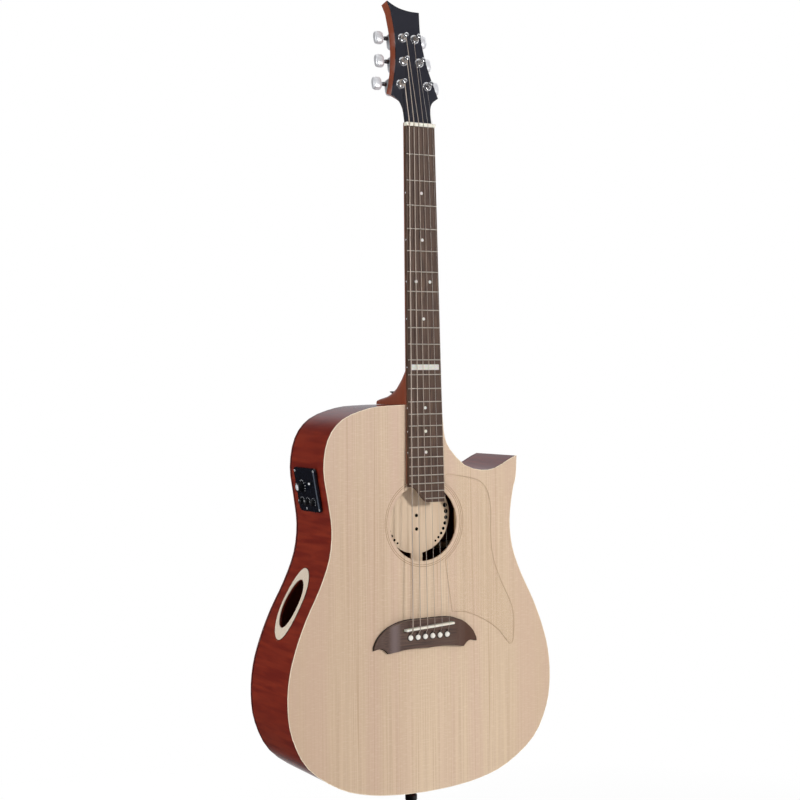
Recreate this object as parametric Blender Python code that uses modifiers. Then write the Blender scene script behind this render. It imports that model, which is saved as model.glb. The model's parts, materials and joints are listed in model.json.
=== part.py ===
"""Acoustic-electric steel-string guitar with a pointed cutaway, hung upright by its headstock.

Metres, +Z up the neck, the soundboard facing -Y, the treble side at +X. The origin is the point
under the headstock's wings where a wall hanger's yoke carries the guitar. Shapes are laid out as
(x across, y back from the soundboard's face, z up from the nut's front edge) and then placed.
"""

import math

import bmesh
import bpy
from mathutils import Matrix, Vector

# Frame and fits
NUT_Z = -0.027  # front edge of the nut, below the hanger point
TOP_Y = -0.018  # outer face of the soundboard
GAP = 0.0003  # between pieces that touch
HOLE_CLEARANCE = 0.0003  # round a pin, a post or a shaft in its hole

# Neck and fingerboard
SCALE_LENGTH = 0.648
FRETS = 24
NUT_WIDTH = 0.0436
NUT_THICKNESS = 0.005
NUT_HEIGHT = 0.0023  # over the fingerboard
BOARD_END_WIDTH = 0.0538
BOARD_LENGTH = 0.491  # treble side
BOARD_SHORT = 0.021  # how much sooner the bass side ends
BOARD_THICKNESS = 0.0048
BOARD_FACE = -0.0003  # fingerboard face at the nut
NECK_SLOPE = 0.0173  # the neck's lean against the soundboard
NECK_DEPTH_NUT = 0.0145
NECK_DEPTH_HEEL = 0.0165
FRET_WIDTH = 0.0022
FRET_HEIGHT = 0.001
HEEL_CAP_WIDTH = 0.032
TENON_WIDTH = 0.020
TENON_LENGTH = 0.018
TENON_HEIGHT = 0.070
ROD_SIZE = 0.006
ROD_LENGTH = 0.4155
ROD_TOP = 0.012  # its upper end, under the nut
ROD_NUT_RADIUS = 0.0042
ROD_NUT_LENGTH = 0.010

# Headstock and tuning machines
HEAD_ANGLE = math.radians(12)
HEAD_FACE = 0.0046  # overlay's face, at the nut
HEAD_LENGTH = 0.170
HEAD_WIDTH_NUT = 0.0405
HEAD_WING = 0.0353  # half width across the wings
HEAD_WAIST = 0.0195  # half width at its narrowest
OVERLAY_THICKNESS = 0.0015
HEAD_THICKNESS = 0.014
POST_RADIUS = 0.003
POST_HEIGHT = 0.0135
SLEEVE_RADIUS = 0.0047
WASHER_RADIUS = 0.0062
WORM_OFFSET = 0.0075
WORM_RADIUS = 0.002
HOUSING_DEPTH = 0.0095
BUTTON_REACH = 0.030  # post to the button's outer end
BUTTON_SIZE = (0.012, 0.0085, 0.018)

# Body
BODY_TOP = 0.3635  # nut to the body's upper edge
BODY_LENGTH = 0.5085
UPPER_BOUT = 0.2908
WAIST = 0.2694
LOWER_BOUT = 0.3974
DEPTH_NECK = 0.0975
DEPTH_TAIL = 0.122
HORN_X = 0.147
HORN_DROP = 0.071  # horn's tip below the body's upper edge
CUTAWAY_DEPTH = 0.089
CUTAWAY_X = 0.0295  # where the cutaway meets the neck
TOP_THICKNESS = 0.0028
BACK_THICKNESS = 0.0026
RIB_THICKNESS = 0.0024
LINING_WIDTH = 0.006
LINING_HEIGHT = 0.014
BLOCK_LENGTH = 0.059
BLOCK_WIDTH = 0.040  # bass side, from the centre line
TAIL_BLOCK_LENGTH = 0.020
TAIL_BLOCK_WIDTH = 0.064
BRACE_WIDTH = 0.0075
BRACE_HEIGHT = 0.012
BACK_BRACE_HEIGHT = 0.013
STRIP_RELIEF = 0.0001  # the seam strip's back, short of the bars' backs

# Soundhole and the beam behind it
SOUNDHOLE_RADIUS = 0.0506
SOUNDHOLE_Z = -0.518
BEAM_DEPTH = 0.019
BEAM_THICKNESS = 0.004
BEAM_RADIUS = 0.0505
BEAM_STEM = 0.0175
BEAM_Z = -0.510

# Bridge and strings
SADDLE_Z = -0.6532
SADDLE_SLANT = 0.0044
SADDLE_LENGTH = 0.0735
SADDLE_THICKNESS = 0.003
SADDLE_HEIGHT = 0.0165  # over the soundboard
SADDLE_SLOT = 0.006
BRIDGE_THICKNESS = 0.010
BRIDGE_WIDTH = 0.156
WING_THICKNESS = 0.0036
PIN_Z = -0.6656
PIN_RADIUS = 0.0025
PIN_HEAD = 0.0037
PIN_LENGTH = 0.021
STRING_SPREAD = 0.0554
NUT_SPREAD = 0.0352
STRING_DIAMETERS = (0.0003, 0.0004, 0.0006, 0.0008, 0.00107, 0.00135)
GUARD_THICKNESS = 0.0008

# Side fittings
PANEL_SIZE = (0.063, 0.058)
PANEL_THICKNESS = 0.002
PANEL_CORNER = 0.006
PANEL_Y = 0.0508
PANEL_Z = -0.4712
CASE_SIZE = (0.054, 0.047, 0.034)
CASE_WALL = 0.002
VOLUME_RADIUS = 0.0066
VOLUME_HEIGHT = 0.008
TONE_RADIUS = 0.004
TONE_HEIGHT = 0.0055
KNOB_SHAFT = 0.002
KEY_SIZE = (0.008, 0.0042)
KEY_HEIGHT = 0.0022
PORT_OUTER = (0.099, 0.054)
PORT_INNER = (0.067, 0.040)
PORT_THICKNESS = 0.0011
PORT_Y = 0.0575
PORT_Z = -0.6185
STRAP_Y = 0.078
STRAP_RADIUS = 0.005
STRAP_HEIGHT = 0.0078
ENDPIN_Y = 0.040
ENDPIN_RADIUS = 0.008
ENDPIN_HEIGHT = 0.0205
JACK_RADIUS = 0.0055
JACK_LENGTH = 0.032

for old in list(bpy.data.objects):
    bpy.data.objects.remove(old)
GUITAR = bpy.data.collections.new("Acoustic_Electric_Guitar")
CUTTERS = bpy.data.collections.new("Cutters")
bpy.context.scene.collection.children.link(GUITAR)
bpy.context.scene.collection.children.link(CUTTERS)
PLACE = Matrix.Translation((0, TOP_Y, NUT_Z))
BOARD_UNDER = BOARD_FACE + BOARD_THICKNESS
BACK_INNER = -BACK_THICKNESS - GAP


def material(name, colour, roughness, metallic=0.0, alpha=1.0):
    made = bpy.data.materials.new(name)
    made.use_nodes = True
    shader = made.node_tree.nodes["Principled BSDF"]
    rgb = [int(colour[i : i + 2], 16) / 255 for i in (0, 2, 4)]
    shader.inputs["Base Color"].default_value = [*(c**2.2 for c in rgb), 1]
    shader.inputs["Roughness"].default_value = roughness
    shader.inputs["Metallic"].default_value = metallic
    shader.inputs["Alpha"].default_value = alpha
    return made


SPRUCE = material("Spruce_Satin", "D8BC98", 0.42)
MAHOGANY = material("Mahogany_Stained", "7A3020", 0.28)
NECK_WOOD = material("Neck_Mahogany", "7E3826", 0.35)
ROSEWOOD = material("Rosewood", "5E4C42", 0.5)
BLACK_GLOSS = material("Headstock_Black", "2C2C30", 0.2)
BONE = material("Bone_White", "EDE6D8", 0.35)
CHROME = material("Chrome", "D8D8DC", 0.12, 1.0)
STEEL = material("String_Steel", "C8C4BC", 0.3, 1.0)
BRONZE = material("String_Bronze", "B89A6A", 0.35, 1.0)
BLACK_PLASTIC = material("Black_Plastic", "1C1C20", 0.4)
CLEAR = material("Clear_Film", "F4F0E8", 0.15, 0.0, 0.2)
MAPLE = material("Maple_Pale", "DCCBAA", 0.45)
LIME = material("Basswood", "CDB58C", 0.6)
ROD_STEEL = material("Rod_Steel", "8C8C90", 0.4, 1.0)


def weld(mesh):
    made = bmesh.new()
    made.from_mesh(mesh)
    bmesh.ops.remove_doubles(made, verts=made.verts, dist=1e-6)
    made.to_mesh(mesh)
    made.free()
    return mesh


def piece(name, mesh, look, matrix=PLACE):
    """A visible sub-part: its mesh, its material and its place."""
    made = bpy.data.objects.new(name, mesh)
    made.matrix_world = matrix
    if not mesh.materials:
        mesh.materials.append(look)
    mesh.shade_smooth()
    mesh.set_sharp_from_angle(angle=math.radians(35))
    GUITAR.objects.link(made)
    return made


def helper(name, mesh, matrix=PLACE):
    """A shape that only cuts or joins another."""
    made = bpy.data.objects.new(name, mesh)
    made.matrix_world = matrix
    made.hide_render = True
    made.display_type = "WIRE"
    CUTTERS.objects.link(made)
    return made


def boolean(target, tool, operation="DIFFERENCE"):
    step = target.modifiers.new(tool.name, "BOOLEAN")
    step.operation = operation
    step.object = tool


def slab(name, loops, low, high, stand=False):
    """Flat loops filled and given a thickness along z, or stood up with it along y.

    A stood-up slab's low (front) and high (back) sides may be functions of z.
    """
    curve = bpy.data.curves.new(name, "CURVE")
    curve.dimensions = "2D"
    curve.fill_mode = "BOTH"
    curve.extrude = 0.001
    for loop in loops:
        loop = [Vector(p) for p in loop]
        loop = [p for i, p in enumerate(loop) if (p - loop[i - 1]).length > 1e-5]
        spline = curve.splines.new("POLY")
        spline.points.add(len(loop) - 1)
        for point, (x, y) in zip(spline.points, loop):
            point.co = (x, y, 0, 1)
        spline.use_cyclic_u = True
    holder = bpy.data.objects.new(name, curve)
    bpy.context.scene.collection.objects.link(holder)
    graph = bpy.context.evaluated_depsgraph_get()
    mesh = bpy.data.meshes.new_from_object(holder.evaluated_get(graph))
    bpy.data.objects.remove(holder)
    weld(mesh)
    for vertex in mesh.vertices:
        x, y, z = vertex.co
        if stand:
            side = low if z > 0 else high
            vertex.co = (x, side(y) if callable(side) else side, y)
        else:
            vertex.co = (x, y, high if z > 0 else low)
    return mesh


def upright(name, loops, front, back):
    return slab(name, loops, front, back, stand=True)


def box(name, size, matrix):
    mesh = bpy.data.meshes.new(name)
    made = bmesh.new()
    bmesh.ops.create_cube(made, size=1, matrix=matrix @ Matrix.Diagonal((*size, 1)))
    made.to_mesh(mesh)
    made.free()
    return mesh


def between(name, x0, x1, y0, y1, z0, z1):
    middle = Matrix.Translation(((x0 + x1) / 2, (y0 + y1) / 2, (z0 + z1) / 2))
    return box(name, (abs(x1 - x0), abs(y1 - y0), abs(z1 - z0)), middle)


def rod(name, radius, low, high, sides, matrix=None, others=()):
    """Cylinders along z from low to high, each at its own (x, y)."""
    mesh = bpy.data.meshes.new(name)
    made = bmesh.new()
    for x, y in others or ((0, 0),):
        middle = Matrix.Translation((x, y, (low + high) / 2))
        bmesh.ops.create_cone(
            made, cap_ends=True, segments=sides, radius1=radius, radius2=radius,
            depth=high - low, matrix=(matrix or Matrix()) @ middle,
        )  # fmt: skip
    made.to_mesh(mesh)
    made.free()
    return mesh


def turned(name, profile, steps):
    """The mesh of a profile of (radius, height), from top to bottom, turned about z."""
    mesh = bpy.data.meshes.new(name)
    points = [(r, 0, z) for r, z in profile]
    mesh.from_pydata(points, [(i, i + 1) for i in range(len(points) - 1)], [])
    holder = bpy.data.objects.new(name, mesh)
    bpy.context.scene.collection.objects.link(holder)
    screw = holder.modifiers.new("Turn", "SCREW")
    screw.steps = screw.render_steps = steps
    screw.use_merge_vertices = True
    screw.merge_threshold = 0.00001
    graph = bpy.context.evaluated_depsgraph_get()
    made = bpy.data.meshes.new_from_object(holder.evaluated_get(graph))
    bpy.data.objects.remove(holder)
    return weld(made)


def loft(name, rings):
    """Faces laid between unlike rings of equal count, with both ends closed."""
    mesh = bpy.data.meshes.new(name)
    made = bmesh.new()
    rows = [[made.verts.new(p) for p in ring] for ring in rings]
    count = len(rows[0])
    for a, b in zip(rows, rows[1:]):
        for i in range(count):
            j = (i + 1) % count
            made.faces.new((a[i], a[j], b[j], b[i]))
    made.faces.new(rows[0])
    made.faces.new(rows[-1])
    bmesh.ops.recalc_face_normals(made, faces=made.faces)
    made.to_mesh(mesh)
    made.free()
    return mesh


def smooth(points, steps):
    """A curve through the points, with this many steps to a span."""
    points = [Vector(p) for p in points]
    row = [2 * points[0] - points[1], *points, 2 * points[-1] - points[-2]]
    made = []
    for a, b, c, d in zip(row, row[1:], row[2:], row[3:]):
        for k in range(steps):
            t = k / steps
            made.append(
                0.5 * (2 * b + (c - a) * t + (2 * a - 5 * b + 4 * c - d) * t * t
                + (3 * b - a - 3 * c + d) * t**3)
            )  # fmt: skip
    return [*made, points[-1]]


def from_edge(spot, points):
    """Distance from a spot to a closed loop."""
    best = 1.0
    for a, b in zip(points, points[1:] + points[:1]):
        along = b - a
        share = min(max((spot - a).dot(along) / max(along.length_squared, 1e-12), 0), 1)
        best = min(best, (spot - a - along * share).length)
    return best


def inset(points, distance):
    """A closed loop moved inwards, with mitred corners; where it folds it is drawn together."""
    area = sum(a.x * b.y - b.x * a.y for a, b in zip(points, points[1:] + points[:1]))
    turn = 1 if area > 0 else -1
    made = []
    for i, point in enumerate(points):
        before = (point - points[i - 1]).normalized()
        after = (points[(i + 1) % len(points)] - point).normalized()
        one = Vector((-before.y, before.x)) * turn
        two = Vector((-after.y, after.x)) * turn
        both = (one + two).normalized()
        made.append(point + both * distance / max(both.dot(one), 0.3))
    count = len(made)
    clear = [from_edge(spot, points) > 0.96 * distance for spot in made]
    for i in range(count):
        reach = 1
        while not clear[i] and reach < count:
            found = [j % count for j in (i - reach, i + reach) if clear[j % count]]
            if found:
                made[i] = made[found[0]]
                break
            reach += 1
    return made


def circle(x, y, radius, sides, phase=0.0):
    turn = [phase + 2 * math.pi * i / sides for i in range(sides)]
    return [(x + radius * math.cos(a), y + radius * math.sin(a)) for a in turn]


def rounded(width, height, radius, steps=4):
    made = []
    for k, (sx, sy) in enumerate(((1, 1), (-1, 1), (-1, -1), (1, -1))):
        for i in range(steps + 1):
            a = math.pi / 2 * (k + i / steps)
            made.append((
                sx * (width / 2 - radius) + radius * math.cos(a),
                sy * (height / 2 - radius) + radius * math.sin(a),
            ))  # fmt: skip
    return made


# ---------------------------------------------------------------- outline


def body_runs():
    """The outline's bass side, treble side and cutaway, each from top to bottom or back up."""
    upper, waist, lower = UPPER_BOUT / 2, WAIST / 2, LOWER_BOUT / 2
    near, far = upper - waist, lower - waist
    flank = [
        (waist + 0.48 * near, 0.233), (waist, 0.308), (waist + 0.06 * far, 0.382),
        (waist + 0.28 * far, 0.455), (waist + 0.58 * far, 0.528), (waist + 0.81 * far, 0.599),
        (waist + 0.96 * far, 0.668), (lower, 0.744), (0.969 * lower, 0.819),
        (0.86 * lower, 0.898), (0.639 * lower, 0.959), (0.423 * lower, 0.986),
        (0.201 * lower, 0.997), (0, 1),
    ]  # fmt: skip
    shoulder = [
        (TENON_WIDTH / 2 + HOLE_CLEARANCE, 0), (0.29 * upper, 0.001), (0.543 * upper, 0.007),
        (0.811 * upper, 0.034), (0.956 * upper, 0.084), (upper, 0.158),
    ]  # fmt: skip
    tip = (HORN_X, -BODY_TOP - HORN_DROP)
    reach = HORN_X - CUTAWAY_X
    scoop = [
        (0.906, 0.848), (0.702, 0.98), (0.515, 1.0), (0.294, 0.916), (0.098, 0.669),
        (0.03, 0.478), (0.0128, 0.298), (0, 0.118), (-0.0255, 0.028), (-0.081, 0.001),
    ]  # fmt: skip
    down = [(-x, -BODY_TOP - t * BODY_LENGTH) for x, t in shoulder + flank]
    up = [(x, -BODY_TOP - t * BODY_LENGTH) for x, t in reversed(flank)]
    horn = (tip[0] - 0.28 * (tip[0] - up[-1][0]), tip[1] + 0.6 * (up[-1][1] - tip[1]))
    cut = [(CUTAWAY_X + u * reach, -BODY_TOP - v * CUTAWAY_DEPTH) for u, v in scoop]
    pocket = (TENON_WIDTH / 2 + HOLE_CLEARANCE, -BODY_TOP)
    return smooth(down, 3), smooth([*up, horn, tip], 3), smooth([tip, *cut, pocket], 2)


BASS, TREBLE, CUTAWAY = body_runs()
OUTLINE = BASS + TREBLE[1:] + CUTAWAY[1:]


def depth(z):
    """How far behind the soundboard's face the back's outer face lies."""
    return DEPTH_NECK + (DEPTH_TAIL - DEPTH_NECK) * (-BODY_TOP - z) / BODY_LENGTH


def board_face(z):
    return BOARD_FACE + NECK_SLOPE * z


def wood_top(z):
    return BOARD_UNDER + GAP + NECK_SLOPE * z


def board_half(z):
    return (NUT_WIDTH + (BOARD_END_WIDTH - NUT_WIDTH) * -z / 0.486) / 2


def fret_z(number):
    return -SCALE_LENGTH * (1 - 2 ** (-number / 12))


def string_x(number, spread):
    return spread * (0.5 - (number - 1) / 5)


def saddle_z(x):
    return SADDLE_Z + SADDLE_SLANT * x / SADDLE_LENGTH


# ---------------------------------------------------------------- body


def make_plates():
    pins = [circle(string_x(n, STRING_SPREAD), PIN_Z, PIN_RADIUS + HOLE_CLEARANCE, 8)
            for n in range(1, 7)]  # fmt: skip
    hole = circle(0, SOUNDHOLE_Z, SOUNDHOLE_RADIUS, 40)
    top = upright("soundboard", [OUTLINE, hole, *pins], 0, TOP_THICKNESS)
    piece("soundboard", top, SPRUCE)
    back = upright("back_plate", [OUTLINE], lambda z: depth(z) - BACK_THICKNESS, depth)
    piece("back_plate", back, MAHOGANY)


def wall(name, first, last, start=0.0, end=0.0):
    """One bent side between two places along the outline, drawn back a little at its ends."""
    inner = inset(OUTLINE, RIB_THICKNESS)
    outer_run, inner_run = OUTLINE[first : last + 1], inner[first : last + 1]
    for run in (outer_run, inner_run):
        run[0] = run[0] + (run[1] - run[0]).normalized() * start
        run[-1] = run[-1] + (run[-2] - run[-1]).normalized() * end
    loop = outer_run + inner_run[::-1]
    front = TOP_THICKNESS + GAP
    return upright(name, [loop], front, lambda z: depth(z) + BACK_INNER)


def make_ribs():
    tail, tip = len(BASS) - 1, len(BASS) + len(TREBLE) - 2
    bass = piece("rib_bass", wall("rib_bass", 0, tail, end=GAP / 2), MAHOGANY)
    treble = wall("rib_treble", tail, tip, start=GAP / 2, end=GAP / 2)
    treble = piece("rib_treble", treble, MAHOGANY)
    last = len(OUTLINE) - 1
    piece("rib_cutaway", wall("rib_cutaway", tip, last, start=GAP / 2), MAHOGANY)
    for rib in (bass, treble):
        boolean(rib, jack_hole())
    boolean(bass, port_hole())
    boolean(bass, panel_hole())


def make_linings():
    """Strips inside the ribs, from the neck block round the tail and horn and back to it."""
    outer = inset(OUTLINE, RIB_THICKNESS + 3 * GAP)
    inner = inset(OUTLINE, RIB_THICKNESS + 3 * GAP + LINING_WIDTH)
    edge = -BLOCK_WIDTH - LINING_WIDTH
    first = next(i for i, p in enumerate(OUTLINE) if p.x < edge)
    low = -BODY_TOP - BLOCK_LENGTH - 0.002
    cut_start = len(BASS) + len(TREBLE)
    last = next(i for i in range(len(OUTLINE) - 1, cut_start, -1) if OUTLINE[i].y < low)
    kept = [i for i in range(first, last + 1)
            if i % 2 == first % 2 or i == cut_start - 2 or i > cut_start]  # fmt: skip
    loop = [outer[i] for i in kept] + [inner[i] for i in reversed(kept)]
    front = TOP_THICKNESS + GAP
    piece("lining_top", upright("lining_top", [loop], front, front + LINING_HEIGHT), LIME)
    back = upright(
        "lining_back", [loop], lambda z: depth(z) + BACK_INNER - LINING_HEIGHT,
        lambda z: depth(z) + BACK_INNER,
    )  # fmt: skip
    piece("lining_back", back, LIME)


def make_blocks():
    front = TOP_THICKNESS + GAP
    lower = -BODY_TOP - BLOCK_LENGTH - RIB_THICKNESS
    right = CUTAWAY_X - RIB_THICKNESS - LINING_WIDTH
    inner = inset(OUTLINE, RIB_THICKNESS + GAP)
    left_run = [p for p in inner[: len(BASS) // 2] if p.x > -BLOCK_WIDTH]
    right_run = [p for p in inner[-12:] if p.x < right and p.y > -BODY_TOP - 0.01]
    loop = [*right_run, *left_run, (-BLOCK_WIDTH, lower), (right, lower)]
    mesh = upright("neck_block", [loop], front, lambda z: depth(z) + BACK_INNER)
    block = piece("neck_block", mesh, LIME)
    half = TENON_WIDTH / 2 + HOLE_CLEARANCE
    mortise = between("mortise", -half, half, 0, front + TENON_HEIGHT + HOLE_CLEARANCE,
                      -BODY_TOP - TENON_LENGTH - HOLE_CLEARANCE, -BODY_TOP + 0.002)  # fmt: skip
    boolean(block, helper("mortise", mortise))
    boolean(block, rod_tunnel())
    boolean(block, key_way())
    floor = -BODY_TOP - BODY_LENGTH
    seat = [p for p in inner if abs(p.x) < TAIL_BLOCK_WIDTH / 2 and p.y < floor + 0.02]
    ledge = floor + RIB_THICKNESS + GAP + TAIL_BLOCK_LENGTH
    loop = [*seat, (seat[-1].x, ledge), (seat[0].x, ledge)]
    mesh = upright("tail_block", [loop], front + LINING_HEIGHT + GAP,
                   lambda z: depth(z) + BACK_INNER - LINING_HEIGHT - GAP)  # fmt: skip
    boolean(piece("tail_block", mesh, LIME), jack_hole())


def bar(name, start, end, width, front, back):
    """A straight brace between two points of (x, z)."""
    a, b = Vector(start), Vector(end)
    side = (b - a).normalized() * width / 2
    side = Vector((-side.y, side.x))
    return upright(name, [[a - side, b - side, b + side, a + side]], front, back)


def make_top_bracing():
    """The crossed braces, the bar over the soundhole, its side braces, tone bars and plate."""
    front = TOP_THICKNESS + GAP
    back = front + BRACE_HEIGHT
    cross = SOUNDHOLE_Z - SOUNDHOLE_RADIUS - 0.0374
    side = SOUNDHOLE_RADIUS + 0.0064
    upper = SOUNDHOLE_Z + SOUNDHOLE_RADIUS + 0.0184
    first = bar("top_bracing", (-0.122, cross + 0.122), (0.168, cross - 0.168),
                BRACE_WIDTH, front, back)  # fmt: skip
    whole = piece("top_bracing", first, SPRUCE)
    bars = [
        ((0.122, cross + 0.122), (-0.168, cross - 0.168), BRACE_WIDTH, 0.0005),
        ((-0.127, upper), (0.040, upper), 0.012, -0.001),
        ((-side, upper), (-side, cross + side), 0.006, -0.003),
        ((side, upper - 0.022), (side, cross + side), 0.006, -0.003),
        ((0.085, cross - 0.085), (-0.035, cross - 0.194), 0.006, -0.004),
        ((0.125, cross - 0.125), (0.010, cross - 0.229), 0.006, -0.004),
        ((-0.060, PIN_Z - 0.007), (0.060, PIN_Z - 0.007), 0.035, 0.0025 - BRACE_HEIGHT),
    ]
    for number, (start, end, width, more) in enumerate(bars):
        mesh = bar(f"brace_{number}", start, end, width, front, back + more)
        boolean(whole, helper(f"brace_{number}", mesh), "UNION")
    boolean(whole, pin_holes())
    boolean(whole, key_way())


def make_back_bracing():
    def inner(z):
        return depth(z) + BACK_INNER

    strip = bar("back_bracing", (0, -BODY_TOP - BLOCK_LENGTH - 0.006),
                (0, -BODY_TOP - BODY_LENGTH + TAIL_BLOCK_LENGTH + 0.006), 0.02,
                lambda z: inner(z) - 0.0025, lambda z: inner(z) - STRIP_RELIEF)  # fmt: skip
    whole = piece("back_bracing", strip, SPRUCE)
    for number, (z, half) in enumerate(((0.225, 0.44), (0.387, 0.43), (0.593, 0.42), (0.81, 0.44))):
        span = UPPER_BOUT if z < 0.5 else LOWER_BOUT
        z = -BODY_TOP - z * BODY_LENGTH
        start, end = (-half * span + 0.006, z), (half * span - 0.006, z)
        mesh = bar(f"back_bar_{number}", start, end, 0.008,
                   lambda z: inner(z) - BACK_BRACE_HEIGHT, inner)  # fmt: skip
        boolean(whole, helper(f"back_bar_{number}", mesh), "UNION")


def make_beam():
    """The wooden plate seen through the soundhole, held by the neck block."""
    half = BEAM_STEM / 2
    start = math.asin(half / BEAM_RADIUS)
    neck = 0.020
    lead = math.asin(neck / BEAM_RADIUS)
    top = -BODY_TOP - BLOCK_LENGTH - RIB_THICKNESS - GAP
    bottom = SOUNDHOLE_Z - SOUNDHOLE_RADIUS - 0.031
    loop = [(half, bottom)]
    sweep = math.pi - start - lead
    for i in range(19):
        a = -math.pi / 2 + start + sweep * i / 18
        loop.append((BEAM_RADIUS * math.cos(a), BEAM_Z + BEAM_RADIUS * math.sin(a)))
    loop.append((neck, top))
    loop += [(-x, z) for x, z in reversed(loop)]
    holes = [circle(0, BEAM_Z, 0.0021, 10), circle(0, BEAM_Z - 0.018, 0.0021, 10)]
    for side in (1, -1):
        for k in range(8):
            a = math.radians(15 - 10.9 * k + 0.22 * k * k)
            x, z = 0.0455 * math.cos(a), BEAM_Z + 0.0455 * math.sin(a)
            holes.append(circle(side * x, z, 0.0027 - 0.0002 * k, 8))
    mesh = upright("centre_beam", [loop, *holes], BEAM_DEPTH, BEAM_DEPTH + BEAM_THICKNESS)
    piece("centre_beam", mesh, MAPLE)


# ---------------------------------------------------------------- neck


def head_matrix():
    """Headstock frame: x across, y back through it, z up its face, from the nut's back edge."""
    start = Vector((0, HEAD_FACE, NUT_THICKNESS))
    return PLACE @ Matrix.Translation(start) @ Matrix.Rotation(-HEAD_ANGLE, 4, "X")


HEAD = head_matrix()


def head_loop(start, margin=0.0, carved=False):
    """The headstock's outline: flared wings, a narrow waist and a swept crest.

    The carved outline is the back's, where the wood under the wings is scooped away.
    """
    nut = HEAD_WIDTH_NUT / 2
    wing_x, wing_z = HEAD_WING, 0.2219 * HEAD_LENGTH
    flare = [(nut, start), (nut, 0.014), (nut + 0.0012, 0.022), (nut + 0.004, 0.029),
             (nut + 0.0088, wing_z - 0.0042), (wing_x, wing_z)]  # fmt: skip
    if carved:
        wing_x, wing_z = HEAD_WING - 0.0012, wing_z + 0.0072
        flare = [(nut - 0.0125, start + 0.008), (nut - 0.0122, 0.017), (nut - 0.0105, 0.0265),
                 (nut - 0.0060, 0.0345), (nut + 0.0035, wing_z - 0.0048), (wing_x, wing_z)]  # fmt: skip
    side = [
        (wing_x, wing_z), (0.86 * HEAD_WING, 0.325 * HEAD_LENGTH),
        (0.78 * HEAD_WING, 0.3863 * HEAD_LENGTH), (HEAD_WAIST + 0.0038, 0.4953 * HEAD_LENGTH),
        (HEAD_WAIST + 0.0009, 0.634 * HEAD_LENGTH), (HEAD_WAIST, 0.733 * HEAD_LENGTH),
        (HEAD_WAIST + 0.0007, 0.8222 * HEAD_LENGTH), (HEAD_WAIST + 0.0022, 0.929 * HEAD_LENGTH),
    ]  # fmt: skip
    half = smooth(flare, 2)[:-1] + smooth(side, 2)
    top = HEAD_WAIST + 0.0022
    crest = [(top, 0.929 * HEAD_LENGTH), (0.007, 0.93 * HEAD_LENGTH), (-0.008, 0.946 * HEAD_LENGTH),
             (-0.018, 0.972 * HEAD_LENGTH), (-0.0255, HEAD_LENGTH)]  # fmt: skip
    left = [Vector((-p[0], p[1])) for p in reversed(half)]
    loop = [*half[:-1], *smooth(crest, 3)[:-1], Vector(crest[-1]), *left]
    return inset(loop, margin) if margin else loop


def heel_rings():
    """Flat sections across the heel, each a rounded D with its straight side at the body."""
    seat = -BODY_TOP + GAP
    cap = HEEL_CAP_WIDTH / 2
    root = board_half(-BODY_TOP) - 0.0004
    last = DEPTH_NECK
    table = [(-0.0008, 0.0, 0.045), (0.008, 0.02, 0.060), (0.0125, 0.05, 0.056),
             (0.0215, 0.13, 0.043), (0.038, 0.32, 0.027), (0.0555, 0.52, 0.017),
             (0.073, 0.72, 0.0115), (0.0905, 0.92, 0.0085), (last, 1.0, 0.0072)]  # fmt: skip
    rings = []
    for y, share, reach in table:
        width = root + (cap - root) * share
        ring = [(width, y, seat)]
        for i in range(11):
            a = math.pi * i / 10
            x = abs(math.cos(a)) ** 0.72 * math.copysign(1, math.cos(a))
            z = math.sin(a) ** 0.72 if i not in (0, 10) else 0.0
            ring.append((width * x, y, seat + 0.0015 + (reach - 0.0015) * z))
        ring.append((-width, y, seat))
        rings.append(ring)
    return rings


def shaft_ring(z, thickness):
    half = board_half(z)
    face = wood_top(z)
    ring = [(half, face, z)]
    for i in range(13):
        a = math.pi * i / 12
        x = abs(math.cos(a)) ** 1.25 * math.copysign(1, math.cos(a))
        y = math.sin(a) ** 1.2 if i not in (0, 12) else 0.0
        ring.append((half * x, face + 0.0006 + (thickness - 0.0006) * y, z))
    ring.append((-half, face, z))
    return ring


def rod_tunnel():
    if "rod_tunnel" in bpy.data.objects:
        return bpy.data.objects["rod_tunnel"]
    size = ROD_SIZE + 2 * HOLE_CLEARANCE
    mesh = box("rod_tunnel", (size, size, ROD_LENGTH + 2 * HOLE_CLEARANCE), rod_matrix())
    return helper("rod_tunnel", mesh)


def key_way():
    """The round way for the truss rod's nut and key, out to the soundhole's edge."""
    if "key_way" in bpy.data.objects:
        return bpy.data.objects["key_way"]
    end = -ROD_LENGTH / 2
    reach = max(-ROD_TOP - ROD_LENGTH - SOUNDHOLE_Z - SOUNDHOLE_RADIUS, ROD_NUT_LENGTH + 0.002)
    mesh = rod("key_way", ROD_NUT_RADIUS + HOLE_CLEARANCE, end - reach, end + 0.001, 10, rod_matrix())
    return helper("key_way", mesh)


def rod_matrix():
    """The truss rod's middle, under the fingerboard, nearer the soundboard at its lower end."""
    top, bottom = Vector((0, 0.010, -ROD_TOP)), Vector((0, 0.0085, -ROD_TOP - ROD_LENGTH))
    lean = math.atan2(top.y - bottom.y, ROD_LENGTH)
    return Matrix.Translation((top + bottom) / 2) @ Matrix.Rotation(-lean, 4, "X")


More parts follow.
